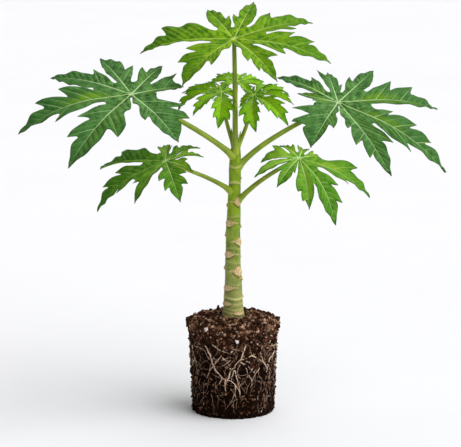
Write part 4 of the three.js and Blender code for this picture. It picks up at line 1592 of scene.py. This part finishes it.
        # The pot's flat base left the underside flat, with a sharp edge
        low, flat = self.base_rise
        pressed = np.maximum((points[:, 2] - flat) * low / (low - flat), 0)
        points[:, 2] = np.where(points[:, 2] < low, pressed, points[:, 2])
        around = np.arctan2(points[:, 1], points[:, 0])
        ragged = 0.7 + 0.3 * np.sin(around * 7) + 0.3 * np.sin(around * 17 + 1)
        lip = self.lip * ragged * bump(points[:, 2], self.rim_height, self.lip_spread)
        points[:, :2] *= 1 + (lip * ease(np.hypot(points[:, 0], points[:, 1]), 60, 72) / self.rim)[:, None]
        # The soil lies low where the trunk comes out of it
        past = self.past_collar(points)
        ceiling = self.collar_height + 6 * past
        points[:, 2] = np.where(past < 1, np.minimum(points[:, 2], ceiling), points[:, 2])
        move_points(core, points)
        self.core = core
        self.tree = BVHTree.FromObject(core, bpy.context.evaluated_depsgraph_get())
        hand_over(core, [SOIL], ["root_ball"], smooth=180)
        self.read_core()

    def read_core(self) -> None:
        """Notes the core's triangles, for loose pieces to be laid on."""
        mesh = self.core.data
        mesh.calc_loop_triangles()
        corners = np.empty(len(mesh.loop_triangles) * 3, int)
        mesh.loop_triangles.foreach_get("vertices", corners)
        self.triangles = points_of(self.core)[corners.reshape(-1, 3)]
        edges = self.triangles[:, 1:] - self.triangles[:, :1]
        square = np.cross(edges[:, 0], edges[:, 1])
        self.areas = np.linalg.norm(square, axis=1)
        self.normals = square / np.maximum(self.areas, 1e-9)[:, None]
        self.centres = self.triangles.mean(axis=1)

    def past_collar(self, points: Array) -> Array:
        """Rises from 0 beside the trunk to 1 where the soil's own lumps start."""
        return ease(np.hypot(points[:, 0], points[:, 1]), self.collar, self.collar_end)

    def surface_spots(self, count: int, wanted: Array) -> tuple[Array, Array]:
        """Picks seeded random spots on the core's surface.

        Args:
            count: How many spots.
            wanted: How likely each triangle is to be picked, for its area.

        Returns:
            The spots and the surface's normals there.
        """
        likely = self.areas * wanted
        picked = self.rng.choice(len(likely), count, p=likely / likely.sum())
        spread = self.rng.dirichlet((1, 1, 1), count)
        return np.einsum("ij,ijk->ik", spread, self.triangles[picked]), self.normals[picked]

    def scatter(
        self, name: str, detail: int, spots: Array, normals: Array, sizes: Array, sunk: float
    ) -> tuple[bpy.types.Object, int]:
        """Models a crumb once and copies it to each spot, turned and squashed at random.

        Args:
            name: The piece's name.
            detail: How finely the crumb is divided: 1 gives it 20 faces and 2 gives it 80.
            spots: Where the crumbs lie.
            normals: The surface's normals there.
            sizes: Each crumb's radius.
            sunk: How far each is sunk in, in shares of its radius.

        Returns:
            The piece, and how many faces each crumb has.
        """
        select_only()
        bpy.ops.mesh.primitive_ico_sphere_add(subdivisions=detail, radius=MM)
        ball = bpy.context.object
        shape = points_of(ball)
        faces = np.array([list(face.vertices) for face in ball.data.polygons])
        bpy.data.objects.remove(ball)
        count = len(spots)
        lumps = self.rng.standard_normal((count, len(shape), 1)).clip(-1.6, 1.6)
        lumpy = shape[None] * (1 + 0.28 * lumps)
        lumpy *= self.rng.uniform(0.55, 1.25, (count, 1, 3))
        turn = np.linalg.qr(self.rng.standard_normal((count, 3, 3)))[0]
        placed = np.einsum("nij,nkj->nki", turn, lumpy) * sizes[:, None, None]
        placed += (spots + normals * (sizes * (1 - 2 * sunk))[:, None] * 0.5)[:, None]
        # Crumbs near the foot stay above the floor
        placed[..., 2] = np.maximum(placed[..., 2], 0.2)
        numbers = faces[None] + (np.arange(count) * len(shape))[:, None, None]
        piece = mesh_piece(name, placed.reshape(-1, 3), numbers.reshape(-1, 3))
        return piece, len(faces)

    def build_crumbs(
        self, name: str, count: int, detail: int, size: tuple[float, float], wanted: Array,
        shares: tuple[float, float, float],
    ) -> None:
        """Scatters soil crumbs of three kinds and hands them over as one piece.

        Args:
            name: The piece's name.
            count: How many crumbs.
            detail: How finely each is divided.
            size: The smallest and the largest radius.
            wanted: How likely each of the core's triangles is to carry a crumb, for its area.
            shares: How many of them are dark, brown and dry.
        """
        spots, normals = self.surface_spots(count, wanted)
        sizes = size[0] + (size[1] - size[0]) * self.rng.random(count) ** 2.2
        sizes *= 0.35 + 0.65 * np.where(spots[:, 2] > self.rim_height, self.past_collar(spots), 1)
        piece, faces = self.scatter(name, detail, spots, normals, sizes, 0.35)
        kinds = np.repeat(self.rng.choice(3, count, p=shares), faces)
        hand_over(piece, CRUMBS, smooth=40)
        piece.data.polygons.foreach_set("material_index", kinds)

    def on_side(self, angle: float, height: float) -> tuple[Array, Array]:
        """Finds the core's surface straight in from outside.

        Args:
            angle: The angle from the front, growing to the right.
            height: The height.

        Returns:
            The point and the way out from it.
        """
        out = direction(angle - 90, 0)
        level = np.array([0, 0, height])
        hit = self.tree.ray_cast(Vector((out * (self.rim + 30) + level) * MM), Vector(-out))[0]
        if hit is None:
            radius = np.interp(height, [self.foot_edge, self.rim_height], [self.foot, self.rim])
            return out * float(radius) + level, out
        return np.array(hit) / MM, out

    def on_top(self, x: float, y: float) -> tuple[Array, Array]:
        """Finds the core's surface straight down from above, and the way up from it."""
        hit = self.tree.ray_cast(Vector((x * MM, y * MM, 0.3)), Vector((0, 0, -1)))[0]
        return np.array(hit) / MM, np.array([0, 0, 1.0])

    def strand(
        self, line: Sequence[tuple[float, float]], radius: float, turn: float = 0.0, thin: float = 0.35,
        wander: float = 0.8,
    ) -> Strand:
        """Lays a root on the ball's side.

        Args:
            line: The root's course as angle from the front and height.
            radius: Its radius where it starts.
            turn: How far the course is turned round the ball.
            thin: The share of its radius at its tip.
            wander: How far it strays from the course, in millimetres.

        Returns:
            The points and the radius at each.
        """
        course = rounded(np.array(line, float), 2)
        flat = evenly(np.column_stack([np.radians(course[:, 0]) * self.rim, course[:, 1]]), 2.2)
        count = len(flat)
        stray = np.cumsum(self.rng.standard_normal((count, 2)), axis=0)
        stray -= np.linspace(0, 1, count)[:, None] * stray[-1]
        flat += stray * (wander / max(1e-6, np.abs(stray).max()))
        hits = [self.on_side(math.degrees(x / self.rim) + turn, z) for x, z in flat]
        # It bridges the small hollows of the soil
        reach = np.array([point @ out for point, out in hits])
        smoothed = np.convolve(np.pad(reach, 2, mode="edge"), np.ones(5) / 5, "valid")
        reach = np.maximum(smoothed, reach - 0.4)
        radii = radius * np.linspace(1, thin, count)
        points = np.array([out * (far + 0.5 * r + 0.3) + np.array([0, 0, point[2]])
                           for (point, out), far, r in zip(hits, reach, radii)])
        return points, radii

    def main_strands(self, shape: tuple, turn: float) -> list[Strand]:
        """Lays one of the main roots and its side root, turned round the ball."""
        line, radius, branch = shape
        return [self.strand(line, radius, turn), self.strand(branch, radius * 0.75, turn)]

    def hair_root(self) -> Strand:
        """Lets one hair root wander down the side from a seeded random start.

        Returns:
            The points and the radius at each.
        """
        angle, height = self.rng.uniform(-180, 180), self.rng.uniform(35, 140)
        heading = self.rng.normal(-90, 45)
        line = [(angle, height)]
        for _ in range(int(self.rng.integers(4, 11))):
            heading += self.rng.normal(0, 26)
            heading += (-90 - heading) * 0.12
            angle += math.degrees(self.hair_step * math.cos(math.radians(heading)) / self.rim)
            height = max(6.0, height + self.hair_step * math.sin(math.radians(heading)))
            line.append((angle, height))
        return self.strand(line, float(self.rng.uniform(0.28, 0.58)), thin=0.5, wander=0.5)

    def build_roots(self) -> None:
        """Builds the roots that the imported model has, the thinner ones and the hair roots."""
        front = [strand for shape in self.main_roots for strand in self.main_strands(shape, 0)]
        piece = sweep("roots_front", front, 10)
        hand_over(piece, [ROOT_SKIN], [f"root_front_{i + 1}" for i in range(4)])
        around = []
        for which, angle in self.roots_round:
            line, _, branch = self.main_roots[which]
            angles = [a for a, _ in (*line, *branch)]
            around += self.main_strands(self.main_roots[which], angle - (min(angles) + max(angles)) / 2)
        piece = sweep("roots_around", around, 10)
        hand_over(piece, [ROOT_SKIN], [f"root_round_{i + 1}" for i in range(7)])
        thin = [self.strand(line, radius, turn) for turn in self.turns for line, radius in self.thin_roots]
        hand_over(sweep("roots_thin", thin, 8), [ROOT_SKIN])
        hairs = [self.hair_root() for _ in range(self.hair_count)]
        hand_over(sweep("roots_hair", hairs, 6), [HAIR_SKIN])

    def build_fibres(self, count: int = 300) -> None:
        """Lays short dry fibres on the soil, most of them on its top.

        Args:
            count: How many fibres.
        """
        height = self.centres[:, 2]
        spots, normals = self.surface_spots(count, (0.25 + (height > 140)) * (height > 6))
        lines = []
        for spot, normal in zip(spots, normals):
            along = np.cross(normal, self.rng.standard_normal(3))
            along /= np.linalg.norm(along)
            length = self.rng.uniform(3, 9)
            share = np.linspace(-0.5, 0.5, 6)
            bow = np.cross(along, normal) * self.rng.normal(0, 0.25)
            line = spot + along * (share * length)[:, None] + bow * (share**2 * length)[:, None]
            line += normal * (0.5 + self.rng.uniform(0, 0.8) * (0.25 - share**2) * 4)[:, None]
            lines.append((line, np.full(6, self.rng.uniform(0.2, 0.45))))
        hand_over(sweep("soil_fibres", lines, 4), [FIBRE])

    def build_perlite(self, count: int = 220) -> None:
        """Sets white perlite grains in the soil: seeded ones all over, and the few that stand out.

        Args:
            count: How many seeded grains.
        """
        height = self.centres[:, 2]
        spots, normals = self.surface_spots(count, np.where(height > 120, 1.0, 0.25) * (height > 4))
        sizes = 0.5 + 1.3 * self.rng.random(count) ** 2.5
        small, _ = self.scatter("perlite_grains", 1, spots, normals, sizes, 0.3)
        chosen = [self.on_side(angle, height) for angle, height, _ in self.front_perlite]
        chosen += [self.on_top(x, y) for x, y, _ in self.top_perlite]
        spots, normals = (np.array(rows) for rows in zip(*chosen))
        sizes = np.array([radius for *_, radius in self.front_perlite + self.top_perlite])
        large, _ = self.scatter("perlite_large", 2, spots, normals, sizes, 0.3)
        for piece in (small, large):
            hand_over(piece, [PERLITE], smooth=50)

    def build(self) -> None:
        """Builds the ball from its core outwards."""
        self.build_core()
        height, slope = self.centres[:, 2], self.normals[:, 2]
        off_middle = np.hypot(self.centres[:, 0], self.centres[:, 1])
        on_side = (np.abs(slope) < 0.75) * (height > 2)
        on_top = (height > 146) * (slope > -0.2) * (off_middle > 18)
        off_collar = on_top * (self.past_collar(self.centres) > 0.6)
        self.build_crumbs("soil_crumbs_side", 4800, 1, (0.8, 3.0), on_side, (0.62, 0.28, 0.1))
        self.build_crumbs("soil_crumbs_top", 2600, 1, (1.0, 4.2), on_top, (0.3, 0.38, 0.32))
        self.build_crumbs("soil_clods", 150, 2, (3.0, 6.6), off_collar, (1.0, 0.0, 0.0))
        self.build_fibres()
        self.build_perlite()
        self.build_roots()


@dataclass
class Studio:
    """The camera at the photograph's angle, a pale floor and soft light from the upper right."""

    image_width: int = 461
    pitch: float = 10.5
    distance: float = 3500.0
    focal_pixels: float = 2058.0
    aim: tuple[float, float, float] = (-4.8, 0.0, 325.0)
    sensor: float = 36.0
    # The floor's side in metres
    floor_size: float = 300.0
    sky: float = 0.27
    key: float = 3.4
    rim: float = 0.22

    def build(self) -> None:
        """Builds the camera, the floor and the lights."""
        scene = bpy.context.scene
        tilt = math.radians(self.pitch)
        away = np.array([0, -math.cos(tilt), math.sin(tilt)]) * self.distance
        camera_data = bpy.data.cameras.new("camera")
        camera_data.sensor_width = self.sensor
        camera_data.lens = self.focal_pixels / self.image_width * self.sensor
        camera_data.clip_end = 100
        camera = bpy.data.objects.new("camera", camera_data)
        camera.location = (np.array(self.aim) + away) * MM
        camera.rotation_euler = (math.pi / 2 - tilt, 0, 0)
        scene.collection.objects.link(camera)
        scene.camera = camera

        select_only()
        bpy.ops.mesh.primitive_plane_add(size=self.floor_size)
        floor = bpy.context.object
        floor.name = "studio_floor"
        floor.data.materials.append(PAPER.material())

        world = bpy.data.worlds.new("soft_sky")
        world.use_nodes = True
        scene.world = world
        backdrop = world.node_tree.nodes["Background"]
        backdrop.inputs["Color"].default_value = (1, 1, 1, 1)
        backdrop.inputs["Strength"].default_value = self.sky
        # Standard keeps the paper white and the greens as bright as their own colours
        scene.view_settings.view_transform = "Standard"

        self.sun("key_light", self.key, 75, heading=-22, slope=40)
        self.sun("rim_light", self.key * self.rim, 60, heading=75, slope=50)

    def sun(self, name: str, strength: float, softness: float, heading: float, slope: float) -> None:
        """Adds a broad soft light that shines from a heading and a slope above level.

        Args:
            name: The light's name.
            strength: How bright it is.
            softness: The angle that it fills, in degrees.
            heading: The heading that it shines from.
            slope: How high it stands.
        """
        data = bpy.data.lights.new(name, "SUN")
        data.energy = strength
        data.angle = math.radians(softness)
        lamp = bpy.data.objects.new(name, data)
        lamp.rotation_mode = "QUATERNION"
        lamp.rotation_quaternion = Vector(direction(heading, slope)).to_track_quat("Z", "Y")
        lamp.location = Vector(direction(heading, slope) * 3)
        bpy.context.scene.collection.objects.link(lamp)


def write_sizes() -> None:
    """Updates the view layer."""
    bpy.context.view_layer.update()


def main() -> None:
    """Builds the seedling from the studio and the ball upwards."""
    logging.basicConfig(level=logging.INFO, format="%(name)s: %(message)s")
    Studio().build()
    RootBall().build()
    trunk = Trunk()
    trunk.build()
    for plan in LEAVES:
        Stalk(plan, trunk).build()
        Blade(plan).build()
    GrowingTip(trunk).build()
    write_sizes()


if __name__ == "__main__":
    main()
